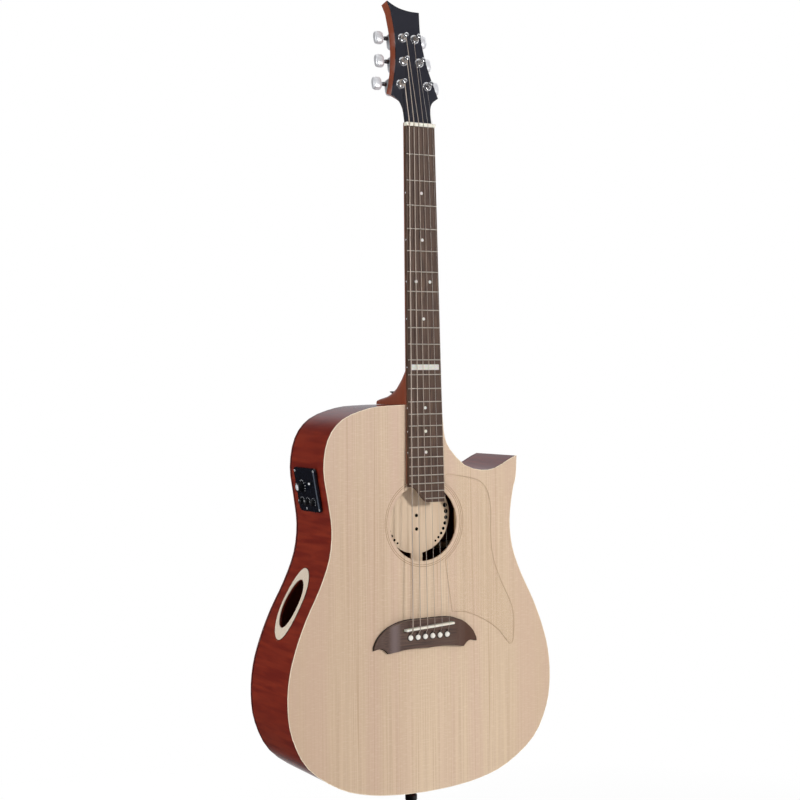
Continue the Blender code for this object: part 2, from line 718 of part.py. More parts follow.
def make_neck():
    """Shaft, heel, tenon, headstock core and the tongue that carries the board over the top."""
    stations = [
        (NUT_THICKNESS, NECK_DEPTH_NUT), (-0.02, NECK_DEPTH_NUT), (-0.29, NECK_DEPTH_HEEL),
        (-BODY_TOP + 0.003, NECK_DEPTH_HEEL + 0.0005),
    ]  # fmt: skip
    neck = piece("neck", loft("neck", [shaft_ring(*s) for s in stations]), NECK_WOOD)
    boolean(neck, helper("heel", loft("heel", heel_rings())), "UNION")
    front = OVERLAY_THICKNESS + GAP
    core = loft("headstock_core", [
        [(p[0], front, p[1]) for p in head_loop(-0.004)],
        [(p[0], front + HEAD_THICKNESS, p[1]) for p in head_loop(-0.004, carved=True)],
    ])  # fmt: skip
    boolean(neck, helper("headstock_core", core, HEAD), "UNION")
    end = -BOARD_LENGTH + BOARD_SHORT + 0.004
    start = -BODY_TOP + 0.008
    wide, slim = board_half(start) - 0.0006, board_half(end) - 0.0006
    plan = [(-slim, end), (slim, end), (wide, start), (-wide, start)]
    tongue = upright("tongue", [plan], wood_top, -GAP)
    boolean(neck, helper("tongue", tongue), "UNION")
    half = TENON_WIDTH / 2
    front = TOP_THICKNESS + GAP + 0.0004
    tenon = between("tenon", -half, half, front, front + TENON_HEIGHT - 0.0004,
                    -BODY_TOP - TENON_LENGTH, -BODY_TOP + 0.0075)  # fmt: skip
    boolean(neck, helper("tenon", tenon), "UNION")
    boolean(neck, rod_tunnel())
    boolean(neck, sleeve_holes())
    seat = rod("strap_seat", STRAP_RADIUS + 0.0015, strap_z(), strap_z() + 0.02, 20,
               Matrix.Translation((0, STRAP_Y, 0)))  # fmt: skip
    boolean(neck, helper("strap_seat", seat))


def make_overlay():
    loop = head_loop(GAP + 0.0004)
    mesh = upright("headstock_overlay", [loop], 0, OVERLAY_THICKNESS)
    boolean(piece("headstock_overlay", mesh, BLACK_GLOSS, HEAD), sleeve_holes())


def board_end(x):
    """Where the board ends at x: short on the bass side, with an S between."""
    share = min(max((x + 0.022) / 0.024, 0), 1)
    return -BOARD_LENGTH + BOARD_SHORT * (1 - (3 * share**2 - 2 * share**3))


def make_fingerboard():
    end = board_half(-BOARD_LENGTH)
    short = board_half(board_end(-1))
    edge = [(-short, board_end(-1))]
    edge += [(x, board_end(x)) for x in (-0.022 + 0.0024 * i for i in range(11))]
    loop = [(board_half(0), 0), (-board_half(0), 0), *edge, (end, -BOARD_LENGTH)]
    mesh = upright("fingerboard", [loop], board_face, lambda z: board_face(z) + BOARD_THICKNESS)
    board = piece("fingerboard", mesh, ROSEWOOD)
    made = bmesh.new()
    for number in range(1, FRETS + 1):
        z = fret_z(number)
        right = board_half(z) - 0.0004
        left = -right
        while left < right and board_end(left) > z - 0.0025:
            left += 0.0005
        if z < board_end(right) + 0.0025 or right - left < 0.01:
            continue
        middle = Matrix.Translation(((left + right) / 2, board_face(z), z))
        size = (right - left, 2 * FRET_HEIGHT, FRET_WIDTH)
        bmesh.ops.create_cube(made, size=1, matrix=middle @ Matrix.Diagonal((*size, 1)))
    frets = bpy.data.meshes.new("frets")
    made.to_mesh(frets)
    made.free()
    boolean(board, helper("frets", frets), "UNION")


def make_nut():
    low, high = BOARD_FACE - NUT_HEIGHT, BOARD_UNDER
    mesh = between("nut", -NUT_WIDTH / 2, NUT_WIDTH / 2, low, high, GAP, NUT_THICKNESS)
    nut = piece("nut", mesh, BONE)
    made = bmesh.new()
    for number, size in enumerate(STRING_DIAMETERS, 1):
        wide = size + 2 * HOLE_CLEARANCE
        floor = string_nut_y(number) + size / 2 + HOLE_CLEARANCE
        middle = Matrix.Translation((string_x(number, NUT_SPREAD), floor - 0.003, 0.0025))
        made_box = middle @ Matrix.Diagonal((wide, 0.006, 0.012, 1))
        bmesh.ops.create_cube(made, size=1, matrix=made_box)
    slots = bpy.data.meshes.new("nut_slots")
    made.to_mesh(slots)
    made.free()
    boolean(nut, helper("nut_slots", slots))


def make_truss_rod():
    mesh = box("truss_rod", (ROD_SIZE, ROD_SIZE, ROD_LENGTH), rod_matrix())
    whole = piece("truss_rod", mesh, ROD_STEEL)
    end = -ROD_LENGTH / 2
    nut = rod("rod_nut", ROD_NUT_RADIUS, end - ROD_NUT_LENGTH, end + 0.0005, 6, rod_matrix())
    low = -ROD_LENGTH / 2 - BLOCK_LENGTH
    socket = rod("rod_socket", 0.002, low, -ROD_LENGTH / 2 - 0.004, 6, rod_matrix())
    boolean(whole, helper("rod_nut", nut), "UNION")
    boolean(whole, helper("rod_socket", socket))


# ---------------------------------------------------------------- tuning machines


def post_place(number):
    """(x, z) of a string's post on the headstock: 1 to 3 treble from below, 6 to 4 bass."""
    row = number - 1 if number <= 3 else 6 - number
    x, z = ((0.57 * HEAD_WING, 0.3117), (0.0122, 0.5017), (0.00935, 0.6959))[row]
    return (x if number <= 3 else -x), z * HEAD_LENGTH


def sleeve_holes():
    if "sleeve_holes" in bpy.data.objects:
        return bpy.data.objects["sleeve_holes"]
    turn = Matrix.Rotation(math.pi / 2, 4, "X")
    spots = [post_place(n) for n in range(1, 7)]
    mesh = rod("sleeve_holes", SLEEVE_RADIUS + 2 * HOLE_CLEARANCE, -0.03, 0.03, 12, turn, spots)
    return helper("sleeve_holes", mesh, HEAD)


def tuner_matrix(number):
    """A machine's frame: z out of the headstock's face along the post, x to its button."""
    x, z = post_place(number)
    side = 1 if number <= 3 else -1
    turn = Matrix(((side, 0, 0), (0, 0, -1), (0, side, 0))).to_4x4()
    return HEAD @ Matrix.Translation((x, 0, z)) @ turn


def worm_place():
    back = -(OVERLAY_THICKNESS + HEAD_THICKNESS + 2 * GAP)
    return WORM_OFFSET, back - HOUSING_DEPTH / 2 - 0.0002


def make_tuner(number):
    frame = tuner_matrix(number)
    side = 1 if number <= 3 else -1
    back = -(OVERLAY_THICKNESS + HEAD_THICKNESS + 2 * GAP)
    worm_y, worm_z = worm_place()
    worm_y *= side
    middle = Matrix.Translation((0.0008, worm_y / 2, 0))
    shape = [(x, y) for x, y in rounded(0.0172, 0.0215, 0.004, 2)]
    case = slab("tuner_case", [shape], back - HOUSING_DEPTH, back)
    case.transform(middle)
    name = f"tuner_housing_{number}"
    housing = piece(name, case, CHROME, frame)
    sleeve = turned(f"sleeve_{number}", [
        (0, 0.003), (0.005, 0.003), (0.005, 0.0012), (WASHER_RADIUS, 0.0011),
        (WASHER_RADIUS, GAP), (SLEEVE_RADIUS, GAP), (SLEEVE_RADIUS, back - 0.001),
        (0, back - 0.001)], 12)  # fmt: skip
    boolean(housing, helper(f"sleeve_{number}", sleeve, frame), "UNION")
    bore = rod(f"post_bore_{number}", POST_RADIUS + HOLE_CLEARANCE,
               back - HOUSING_DEPTH + 0.0012, 0.01, 10)  # fmt: skip
    boolean(housing, helper(f"post_bore_{number}", bore, frame))
    along = Matrix.Translation((0, worm_y, worm_z)) @ Matrix.Rotation(math.pi / 2, 4, "Y")
    worm = rod(f"worm_bore_{number}", WORM_RADIUS + HOLE_CLEARANCE, 0.0, 0.02, 8, along)
    boolean(housing, helper(f"worm_bore_{number}", worm, frame))

    low = back - HOUSING_DEPTH + 0.0012 + GAP
    post = turned(f"tuner_post_{number}", [
        (0, POST_HEIGHT), (POST_RADIUS, POST_HEIGHT),
        (POST_RADIUS, POST_HEIGHT - 0.003), (POST_RADIUS * 0.82, POST_HEIGHT - 0.0045),
        (POST_RADIUS * 0.82, POST_HEIGHT - 0.008), (POST_RADIUS, POST_HEIGHT - 0.0095),
        (POST_RADIUS, low), (0, low)], 10)  # fmt: skip
    made = piece(f"tuner_post_{number}", post, CHROME, frame)
    turn = Matrix.Translation((0, 0, POST_HEIGHT - 0.003)) @ Matrix.Rotation(math.pi / 2, 4, "Y")
    eye = rod(f"string_eye_{number}", 0.0009, -0.01, 0.01, 6, turn)
    boolean(made, helper(f"string_eye_{number}", eye, frame))

    axis = frame @ Matrix.Translation((0, worm_y, worm_z)) @ Matrix.Rotation(math.pi / 2, 4, "Y")
    long, thick, wide = BUTTON_SIZE
    shaft = rod(f"tuner_button_{number}", WORM_RADIUS, GAP, BUTTON_REACH - long / 2, 8)
    button = piece(f"tuner_button_{number}", shaft, CHROME, axis)
    ball = bpy.data.meshes.new(f"knob_{number}")
    form = bmesh.new()
    bmesh.ops.create_uvsphere(form, u_segments=10, v_segments=8, radius=0.5)
    for vertex in form.verts:
        x, y, z = vertex.co
        flat = 1 - 0.35 * (2 * abs(y)) ** 2
        vertex.co = (x * thick * (0.9 + 0.2 * flat), y * wide, z * long * flat)
    form.transform(Matrix.Translation((0, 0, BUTTON_REACH - long / 2)))
    form.to_mesh(ball)
    form.free()
    boolean(button, helper(f"knob_{number}", ball, axis), "UNION")


# ---------------------------------------------------------------- bridge and strings


def pin_holes():
    if "pin_holes" in bpy.data.objects:
        return bpy.data.objects["pin_holes"]
    turn = Matrix.Rotation(math.pi / 2, 4, "X")
    spots = [(string_x(n, STRING_SPREAD), PIN_Z) for n in range(1, 7)]
    mesh = rod("pin_holes", PIN_RADIUS + HOLE_CLEARANCE, -0.03, 0.03, 8, turn, spots)
    return helper("pin_holes", mesh)


def bridge_loop():
    """Half of the moustache outline, mirrored: arched top, upturned tips, scallops and cusps."""
    half = BRIDGE_WIDTH / 2
    top = SADDLE_Z + 0.0097
    arch = [(0, top), (0.41 * half, top - 0.0005), (0.64 * half, top - 0.0053),
            (0.78 * half, top - 0.0105), (0.915 * half, top - 0.0202),
            (0.985 * half, top - 0.0300), (half, top - 0.0358)]  # fmt: skip
    scallop = [(half, top - 0.0358), (0.93 * half, top - 0.0342), (0.86 * half, top - 0.0340),
               (0.79 * half, top - 0.0365), (0.725 * half, top - 0.0412)]  # fmt: skip
    foot = [(0.725 * half, top - 0.0412), (0.5 * half, top - 0.0378), (0.26 * half, top - 0.0366),
            (0, top - 0.0374)]  # fmt: skip
    right = smooth(arch, 3)[:-1] + smooth(scallop, 3)[:-1] + smooth(foot, 2)
    return right + [Vector((-p.x, p.y)) for p in reversed(right[1:-1])]


def make_bridge():
    face = -GAP - BRIDGE_THICKNESS
    bridge = piece("bridge", upright("bridge", [bridge_loop()], face, -GAP), ROSEWOOD)
    ramp = [(0.53, 0.0), (0.58, 0.10), (0.66, 0.45), (0.74, 0.75), (0.84, 0.93), (1.05, 1.0)]
    drop = BRIDGE_THICKNESS - WING_THICKNESS
    loop = [(x * BRIDGE_WIDTH / 2, face - 0.0002 + drop * t) for x, t in ramp]
    loop = [*loop, (loop[-1][0], face - 0.01), (loop[0][0] - 0.001, face - 0.01)]
    for side in (1, -1):
        wing = slab(f"wing_ramp_{side + 1}", [[(side * x, y) for x, y in loop]],
                    SADDLE_Z - 0.06, SADDLE_Z + 0.04)  # fmt: skip
        boolean(bridge, helper(f"wing_ramp_{side + 1}", wing))
    slot = box("saddle_slot", (SADDLE_LENGTH + 2 * HOLE_CLEARANCE, 2 * SADDLE_SLOT,
                               SADDLE_THICKNESS + 2 * HOLE_CLEARANCE), saddle_matrix(face))  # fmt: skip
    boolean(bridge, helper("saddle_slot", slot))
    boolean(bridge, pin_holes())
    made = bmesh.new()
    for number in range(1, 7):
        middle = Matrix.Translation((string_x(number, STRING_SPREAD), face, PIN_Z + 0.003))
        bmesh.ops.create_cube(made, size=1, matrix=middle @ Matrix.Diagonal((0.0024, 0.012, 0.006, 1)))
    slots = bpy.data.meshes.new("string_slots")
    made.to_mesh(slots)
    made.free()
    boolean(bridge, helper("string_slots", slots))


def saddle_matrix(y):
    tilt = -math.atan2(SADDLE_SLANT, SADDLE_LENGTH)
    return Matrix.Translation((0, y, SADDLE_Z)) @ Matrix.Rotation(tilt, 4, "Y")


def make_saddle():
    low = -GAP - BRIDGE_THICKNESS + SADDLE_SLOT - GAP
    height = low + SADDLE_HEIGHT
    mesh = box("saddle", (SADDLE_LENGTH, height, SADDLE_THICKNESS), saddle_matrix(low - height / 2))
    saddle = piece("saddle", mesh, BONE)
    bevel = saddle.modifiers.new("Rounded", "BEVEL")
    bevel.width = 0.0009
    bevel.segments = 2


def make_pin(number):
    """A bridge pin in its own frame, z out of the soundboard, from the bridge's face."""
    profile = [
        (0, 0.0032), (0.0020, 0.0028), (PIN_HEAD, 0.0012), (PIN_HEAD - 0.0004, GAP),
        (PIN_RADIUS, GAP), (PIN_RADIUS - 0.0004, -PIN_LENGTH + 0.002), (0, -PIN_LENGTH),
    ]  # fmt: skip
    name = f"bridge_pin_{number}"
    spot = Vector((string_x(number, STRING_SPREAD), -GAP - BRIDGE_THICKNESS, PIN_Z))
    matrix = PLACE @ Matrix.Translation(spot) @ Matrix.Rotation(math.pi / 2, 4, "X")
    piece(name, turned(name, profile, 10), BONE, matrix)


def string_nut_y(number):
    """The string's centre over the nut, its underside a little above the first fret."""
    return BOARD_FACE - 0.0015 - STRING_DIAMETERS[number - 1] / 2


def string_path(number):
    """Centre line: wound on the post, over the nut and the saddle, down beside its pin."""
    size = STRING_DIAMETERS[number - 1]
    side = 1 if number <= 3 else -1
    px, pz = post_place(number)
    nut_x = string_x(number, NUT_SPREAD)
    back_of_nut = Vector((nut_x, string_nut_y(number), NUT_THICKNESS + 0.0004))
    local = HEAD.inverted() @ (PLACE @ back_of_nut)
    radius = POST_RADIUS + GAP + size / 2
    dx, dz = local.x - px, local.z - pz
    away = math.hypot(dx, dz)
    start = math.atan2(dz, dx) - side * math.acos(radius / away)
    points = []
    turns, steps = (2.4, 8) if number <= 3 else (1.7, 8)
    count = int(turns * steps)
    lead = 0.0046
    for k in range(count, -1, -1):
        a = start - side * 2 * math.pi * k / steps
        rise = lead + (size + 0.0001) * k / steps
        points.append(HEAD @ Vector((px + radius * math.cos(a), -rise, pz + radius * math.sin(a))))
    top_y = -SADDLE_HEIGHT - GAP - size / 2
    x = string_x(number, STRING_SPREAD)
    crown = saddle_z(x)
    hole = PIN_Z + PIN_HEAD + GAP + size / 2
    for spot in (
        back_of_nut,
        Vector((nut_x, string_nut_y(number), 0)),
        Vector((x, top_y, crown + SADDLE_THICKNESS / 2)),
        Vector((x, top_y, crown - SADDLE_THICKNESS / 2)),
        Vector((x, -GAP - BRIDGE_THICKNESS - 0.0028, hole + 0.0001)),
        Vector((x, -GAP - BRIDGE_THICKNESS + 0.0045, hole + 0.0001)),
    ):
        points.append(PLACE @ spot)
    return points


def make_string(number):
    name = f"string_{number}"
    curve = bpy.data.curves.new(name, "CURVE")
    curve.dimensions = "3D"
    curve.bevel_depth = STRING_DIAMETERS[number - 1] / 2
    curve.bevel_resolution = 0 if number <= 3 else 1
    curve.use_fill_caps = True
    path = string_path(number)
    spline = curve.splines.new("POLY")
    spline.points.add(len(path) - 1)
    for point, spot in zip(spline.points, path):
        point.co = (*spot, 1)
    curve.materials.append(STEEL if number <= 2 else BRONZE)
    GUITAR.objects.link(bpy.data.objects.new(name, curve))


def make_pickguard():
    """A clear film beside the soundhole, cut round the rosette and the bridge."""
    ring = SOUNDHOLE_RADIUS + 0.0095
    inner = []
    for i in range(15):
        a = math.radians(58 - 116 * i / 14)
        inner.append((ring * math.cos(a), SOUNDHOLE_Z + ring * math.sin(a)))
    outer = smooth([
        (0.042, -0.6385), (0.058, -0.6395), (0.0696, -0.6425), (0.0853, -0.6492),
        (0.101, -0.658), (0.117, -0.6705), (0.132, -0.6885), (0.1385, -0.683), (0.1395, -0.651),
        (0.1337, -0.630), (0.1226, -0.609), (0.1116, -0.584), (0.1054, -0.5607),
        (0.1036, -0.5336), (0.1044, -0.5067), (0.0998, -0.4823), (0.092, -0.4705),
        (0.0794, -0.4635), (0.0559, -0.4585), (0.0355, -0.4555), (0.0325, -0.4595)], 2)  # fmt: skip
    mesh = upright("pickguard", [[*inner, *outer]], -GAP - GUARD_THICKNESS, -GAP)
    piece("pickguard", mesh, CLEAR)


# ---------------------------------------------------------------- side fittings


def flank_at(z):
    """Index along the bass side and the share of its span where the outline passes z."""
    for i in range(len(BASS) - 1):
        if i > 12 and BASS[i].y >= z > BASS[i + 1].y:
            return i, (BASS[i].y - z) / (BASS[i].y - BASS[i + 1].y)
    return len(BASS) // 2, 0.0


def flank_frame(z, y):
    """On the bass side: x towards the soundboard, y up along the side, z outwards."""
    index, share = flank_at(z)
    spot = BASS[index].lerp(BASS[index + 1], share)
    up = (BASS[index - 1] - BASS[index + 2]).normalized()
    turn = Matrix(((0, up.x, -up.y), (-1, 0, 0), (0, up.y, up.x))).to_4x4()
    return PLACE @ Matrix.Translation((spot.x, y, spot.y)) @ turn


def flank_point(distance, y, lift):
    """A point a distance along the side from the port's middle, lifted off the wood."""
    index, share = flank_at(PORT_Z)
    spot = BASS[index].lerp(BASS[index + 1], share)
    step = 1 if distance > 0 else -1
    left, here = abs(distance), index + (1 if step > 0 else 0)
    while left > (BASS[here] - spot).length:
        left -= (BASS[here] - spot).length
        spot = BASS[here]
        here += step
    along = (BASS[here] - spot).normalized() * step
    spot = spot + along * step * left
    out = Vector((along.y, -along.x))
    before, after = BASS[here - step] - spot, BASS[here] - spot
    if before.length > 1e-6 and after.length > 1e-6:
        along = (after.normalized() - before.normalized()).normalized() * step
        out = Vector((along.y, -along.x))
    spot = spot + out * lift
    return Vector((spot.x, y, spot.y))


def port_hole():
    frame = flank_frame(PORT_Z, PORT_Y)
    loop = [(x * (PORT_INNER[1] + 0.001) / 2, y * (PORT_INNER[0] + 0.001) / 2)
            for x, y in circle(0, 0, 1, 28)]  # fmt: skip
    return helper("port_hole", slab("port_hole", [loop], -0.03, 0.03), frame)


def make_port_ring():
    rings = []
    for i in range(32):
        a = 2 * math.pi * i / 32
        ring = []
        for size, lift in (
            (PORT_INNER, GAP), (PORT_OUTER, GAP), (PORT_OUTER, PORT_THICKNESS * 0.6),
            (PORT_INNER, PORT_THICKNESS + GAP),
        ):  # fmt: skip
            y = PORT_Y + size[1] / 2 * math.sin(a)
            ring.append(flank_point(size[0] / 2 * math.cos(a), y, lift))
        rings.append(ring)
    made = bmesh.new()
    rows = [[made.verts.new(p) for p in ring] for ring in rings]
    for a, b in zip(rows, rows[1:] + rows[:1]):
        for i in range(4):
            made.faces.new((a[i], a[(i + 1) % 4], b[(i + 1) % 4], b[i]))
    bmesh.ops.recalc_face_normals(made, faces=made.faces)
    mesh = bpy.data.meshes.new("soundport_ring")
    made.to_mesh(mesh)
    made.free()
    piece("soundport_ring", mesh, MAPLE)


def panel_hole():
    wide, tall = CASE_SIZE[0] + 2 * GAP, CASE_SIZE[1] + 2 * GAP
    mesh = slab("panel_hole", [rounded(wide, tall, 0.003, 2)], -0.012, 0.012)
    return helper("panel_hole", mesh, PANEL)


PANEL = flank_frame(PANEL_Z, PANEL_Y)
PANEL_LIFT = 0.0008  # the flat panel's underside over the side's slight curve
CONTROLS = {
    "volume_knob": (-0.013, 0.004, VOLUME_RADIUS, VOLUME_HEIGHT),
    "bass_knob": (-0.019, -0.016, TONE_RADIUS, TONE_HEIGHT),
    "middle_knob": (-0.003, -0.016, TONE_RADIUS, TONE_HEIGHT),
    "treble_knob": (0.013, -0.016, TONE_RADIUS, TONE_HEIGHT),
}
KEY_SPOT = (0.013, 0.009)


def make_panel():
    face = PANEL_LIFT + PANEL_THICKNESS
    plate = slab("preamp_housing", [rounded(*PANEL_SIZE, PANEL_CORNER, 3)], PANEL_LIFT, face)
    whole = piece("preamp_housing", plate, BLACK_PLASTIC, PANEL)
    wide, tall, deep = CASE_SIZE
    case = slab("preamp_case", [rounded(wide, tall, 0.003, 2)], -deep, PANEL_LIFT + 0.001)
    boolean(whole, helper("preamp_case", case, PANEL), "UNION")
    inside = [rounded(wide - 2 * CASE_WALL, tall - 2 * CASE_WALL, 0.002, 2)]
    hollow = slab("preamp_hollow", inside, -deep - 0.01, -CASE_WALL)
    boolean(whole, helper("preamp_hollow", hollow, PANEL))
    spots = [(x, y) for x, y, _, _ in CONTROLS.values()]
    holes = rod("shaft_holes", KNOB_SHAFT + HOLE_CLEARANCE, -0.01, 0.02, 12, None, spots)
    boolean(whole, helper("shaft_holes", holes, PANEL))
    wide, tall = KEY_SIZE
    shape = [(x + KEY_SPOT[0], y + KEY_SPOT[1])
             for x, y in rounded(wide + 2 * GAP, tall + 2 * GAP, 0.001, 2)]  # fmt: skip
    boolean(whole, helper("key_hole", slab("key_hole", [shape], -0.01, 0.02), PANEL))


def make_controls():
    face = PANEL_LIFT + PANEL_THICKNESS
    for name, (x, y, radius, height) in CONTROLS.items():
        profile = [
            (0, height), (radius - 0.0008, height),
            (radius, GAP + 0.0008), (radius, GAP), (KNOB_SHAFT, GAP), (KNOB_SHAFT, -0.006),
            (0, -0.006),
        ]  # fmt: skip
        frame = PANEL @ Matrix.Translation((x, y, face))
        knob = piece(name, turned(name, profile, 14), BLACK_PLASTIC, frame)
        notch = box(f"{name}_notch", (0.0008, radius, 0.0016),
                    Matrix.Translation((0, radius * 0.6, height)))  # fmt: skip
        boolean(knob, helper(f"{name}_notch", notch, frame))
    key = slab("tuner_key", [rounded(*KEY_SIZE, 0.001, 2)], -0.003, KEY_HEIGHT)
    frame = PANEL @ Matrix.Translation((*KEY_SPOT, face))
    piece("tuner_key", key, BLACK_PLASTIC, frame)


def strap_z():
    """The flat seat cut into the heel under the strap button."""
    return -BODY_TOP + 0.0100


def make_strap_button():
    high = STRAP_HEIGHT
    profile = [
        (0, high), (STRAP_RADIUS * 0.7, high), (STRAP_RADIUS, high - 0.0005),
        (STRAP_RADIUS, high - 0.0013), (STRAP_RADIUS * 0.55, high - 0.0022),
        (STRAP_RADIUS * 0.45, high * 0.45), (STRAP_RADIUS * 0.6, 0.0012),
        (STRAP_RADIUS * 0.9, GAP), (0, GAP),
    ]  # fmt: skip
    matrix = PLACE @ Matrix.Translation((0, STRAP_Y, strap_z()))
    piece("strap_button", turned("strap_button", profile, 12), BLACK_PLASTIC, matrix)


def jack_hole():
    if "jack_hole" in bpy.data.objects:
        return bpy.data.objects["jack_hole"]
    floor = -BODY_TOP - BODY_LENGTH
    mesh = rod("jack_hole", JACK_RADIUS + HOLE_CLEARANCE, floor - 0.01, floor + 0.05, 16)
    mesh.transform(Matrix.Translation((0, ENDPIN_Y, 0)))
    return helper("jack_hole", mesh)


def make_endpin():
    """The strap peg at the tail that also holds the output jack, z up through the tail block."""
    peg, inside = -ENDPIN_HEIGHT, JACK_LENGTH
    profile = [
        (0, inside), (JACK_RADIUS - 0.0012, inside), (JACK_RADIUS - 0.0012, inside - 0.006),
        (JACK_RADIUS, inside - 0.007), (JACK_RADIUS, -GAP), (0.0075, -GAP), (0.0075, -0.0025),
        (0.0052, -0.005), (0.0048, peg + 0.0105), (ENDPIN_RADIUS, peg + 0.0075),
        (ENDPIN_RADIUS, peg + 0.0015), (ENDPIN_RADIUS - 0.0015, peg), (0, peg),
    ]  # fmt: skip
    floor = -BODY_TOP - BODY_LENGTH
    matrix = PLACE @ Matrix.Translation((0, ENDPIN_Y, floor))
    pin = piece("endpin_jack", turned("endpin_jack", profile, 14), BLACK_PLASTIC, matrix)
    socket = rod("jack_socket", 0.0032, peg - 0.01, inside - 0.004, 10)
    boolean(pin, helper("jack_socket", socket, matrix))


make_plates()
make_ribs()
make_linings()
make_blocks()
make_top_bracing()
make_back_bracing()
make_beam()
make_neck()
make_overlay()
make_fingerboard()
make_nut()
make_truss_rod()
for machine in range(1, 7):
    make_tuner(machine)
    make_pin(machine)
    make_string(machine)
make_bridge()
make_saddle()
make_pickguard()
make_port_ring()
make_panel()
make_controls()
make_strap_button()
make_endpin()
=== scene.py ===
"""The looks of a steel-string acoustic-electric guitar with a pointed cutaway and a side port."""
import json
import math
from functools import partial

import bmesh
import bpy
from mathutils import Matrix, Vector

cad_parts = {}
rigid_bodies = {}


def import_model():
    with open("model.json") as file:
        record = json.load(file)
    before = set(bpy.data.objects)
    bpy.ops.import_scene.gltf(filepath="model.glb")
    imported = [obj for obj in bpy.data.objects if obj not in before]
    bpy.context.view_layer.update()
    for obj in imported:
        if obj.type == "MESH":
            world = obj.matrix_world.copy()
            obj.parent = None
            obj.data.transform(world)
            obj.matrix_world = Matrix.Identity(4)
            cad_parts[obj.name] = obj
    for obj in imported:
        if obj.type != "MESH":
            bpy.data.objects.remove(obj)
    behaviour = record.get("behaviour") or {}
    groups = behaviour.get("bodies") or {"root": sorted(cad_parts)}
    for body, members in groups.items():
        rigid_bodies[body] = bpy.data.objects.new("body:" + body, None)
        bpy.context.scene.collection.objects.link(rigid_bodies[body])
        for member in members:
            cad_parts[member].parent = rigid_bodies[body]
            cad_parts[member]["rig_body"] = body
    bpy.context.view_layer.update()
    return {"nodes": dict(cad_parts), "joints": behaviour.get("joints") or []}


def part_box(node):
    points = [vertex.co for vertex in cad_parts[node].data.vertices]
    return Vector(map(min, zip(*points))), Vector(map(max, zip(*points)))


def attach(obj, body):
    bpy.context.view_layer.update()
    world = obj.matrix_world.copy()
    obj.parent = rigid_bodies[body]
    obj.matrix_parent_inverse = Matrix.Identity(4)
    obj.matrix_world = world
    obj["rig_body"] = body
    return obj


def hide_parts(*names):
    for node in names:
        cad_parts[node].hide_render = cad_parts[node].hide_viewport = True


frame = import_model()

NODES = frame["nodes"]
JOINT_OF = {joint["child"]: joint for joint in frame["joints"]}

# -------------------------------- sizes, in metres

TOP_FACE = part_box("soundboard")[0].y
SOUNDHOLE_Z = -0.545
ROSETTE_RADII = (0.0579, 0.0555)
ROSETTE_HALF = 0.0003  # half a rosette line's width
BACK_LEAN = Vector((0, 0.99884, 0.04812))  # out of the flat back
BACK_REACH = 0.06061  # the back's face, measured along that
BINDING_DEPTH = 0.0054
SCALE_LENGTH = 0.648
FRET_COUNT = 24
FRET_CROWN = 0.0014
FRET_RISE = 0.0009
FRET_DOTS = (  # fret and place across the board
    (3, 0), (5, 0), (7, -0.0105), (7, 0.0105), (9, 0), (15, 0), (17, 0), (19, 0))
SIDE_DOTS = (3, 5, 7, 9, 12, 15, 17, 19)
SIDE_DOT_DOWN = 0.0024  # under the board's face
BOARD_START = (0, -0.0183, -0.027)  # the middle of its face at the nut
BOARD_LEAN = (0.0173, 0.99985)  # sine and cosine of its slope
BOARD_HALF_NUT = 0.0218
BOARD_HALF_END = 0.0269
BOARD_RUN = 0.486  # nut to where the board is BOARD_HALF_END wide each side
BOARD_SHORT = 0.470  # bass side's length
BOARD_LONG = 0.491  # treble side's length
CUT_UNDER = 0.00003  # the board is cut this far under its face, to clear the frets' feet
DISC_RADIUS = 0.002  # of a disc whose size is 1
BORE_LARGEST = 0.004  # every bore of the beam has a smaller radius
BORE_SHADE_REACH = 1.15  # the painted shade over a bore, in bore radii
HEAD_UP = Vector((0, 0.20791, 0.97815))  # up the headstock, which leans back 12 degrees
POST_TOP = 0.0135  # over the headstock's face
PANEL_MIDDLE = (-0.141755, 0.0328, -0.4982)
PANEL_LEAN = (0.1717, 0.9852)  # sine and cosine of the side's lean there
PANEL_TOP = 0.0028  # the control panel's face over the middle of its frame
PANEL_SCREWS = (  # places on it
    (0.0262, 0.0252), (0.0262, -0.0252), (-0.0100, -0.0252), (-0.0285, 0.0245))
TICK_RING = 0.006  # radius of the ticks round a knob whose size is 1
TICK_GAP = 0.0015  # from a knob's edge to its ticks
KNOBS = {  # radius, height over the panel, count of flutes
    "volume_knob": (0.0066, 0.008, 24),
    "bass_knob": (0.004, 0.0055, 18),
    "middle_knob": (0.004, 0.0055, 18),
    "treble_knob": (0.004, 0.0055, 18),
}
FLOOR_Z = -1.5


def axes(place, x, y, z):
    """A matrix from a place and three directions."""
    turn = Matrix((x, y, z)).transposed().to_4x4()
    return Matrix.Translation(place) @ turn


# Across the board, up to the nut, and out of its face
sine, cosine = BOARD_LEAN
BOARD = axes(BOARD_START, (1, 0, 0), (0, sine, cosine), (0, -cosine, sine))
# Towards the nut, out of the board's face, and out of its bass edge
BOARD_EDGE = BOARD @ Matrix(((0, 0, -1, 0), (1, 0, 0, 0), (0, -1, 0, 0), (0, 0, 0, 1)))
# Towards the soundboard, up the side, and out of the panel
sine, cosine = PANEL_LEAN
PANEL = axes(PANEL_MIDDLE, (0, -1, 0), (-sine, 0, cosine), (-cosine, 0, -sine))
# Across the soundboard, up it, and out of its face
TOP = axes((0, TOP_FACE, 0), (1, 0, 0), (0, 0, 1), (0, -1, 0))


def body_axes(body):
    """The frame of a turning body: z along its joint's axis, from the joint's place."""
    joint = JOINT_OF[body]
    out = Vector(joint["axis"]).normalized()
    up = HEAD_UP if abs(out.z) < 0.9 else Vector((1, 0, 0))
    side = up.cross(out).normalized()
    return axes(joint.get("pos_m", (0, 0, 0)), side, out.cross(side), out)


# -------------------------------- node helpers


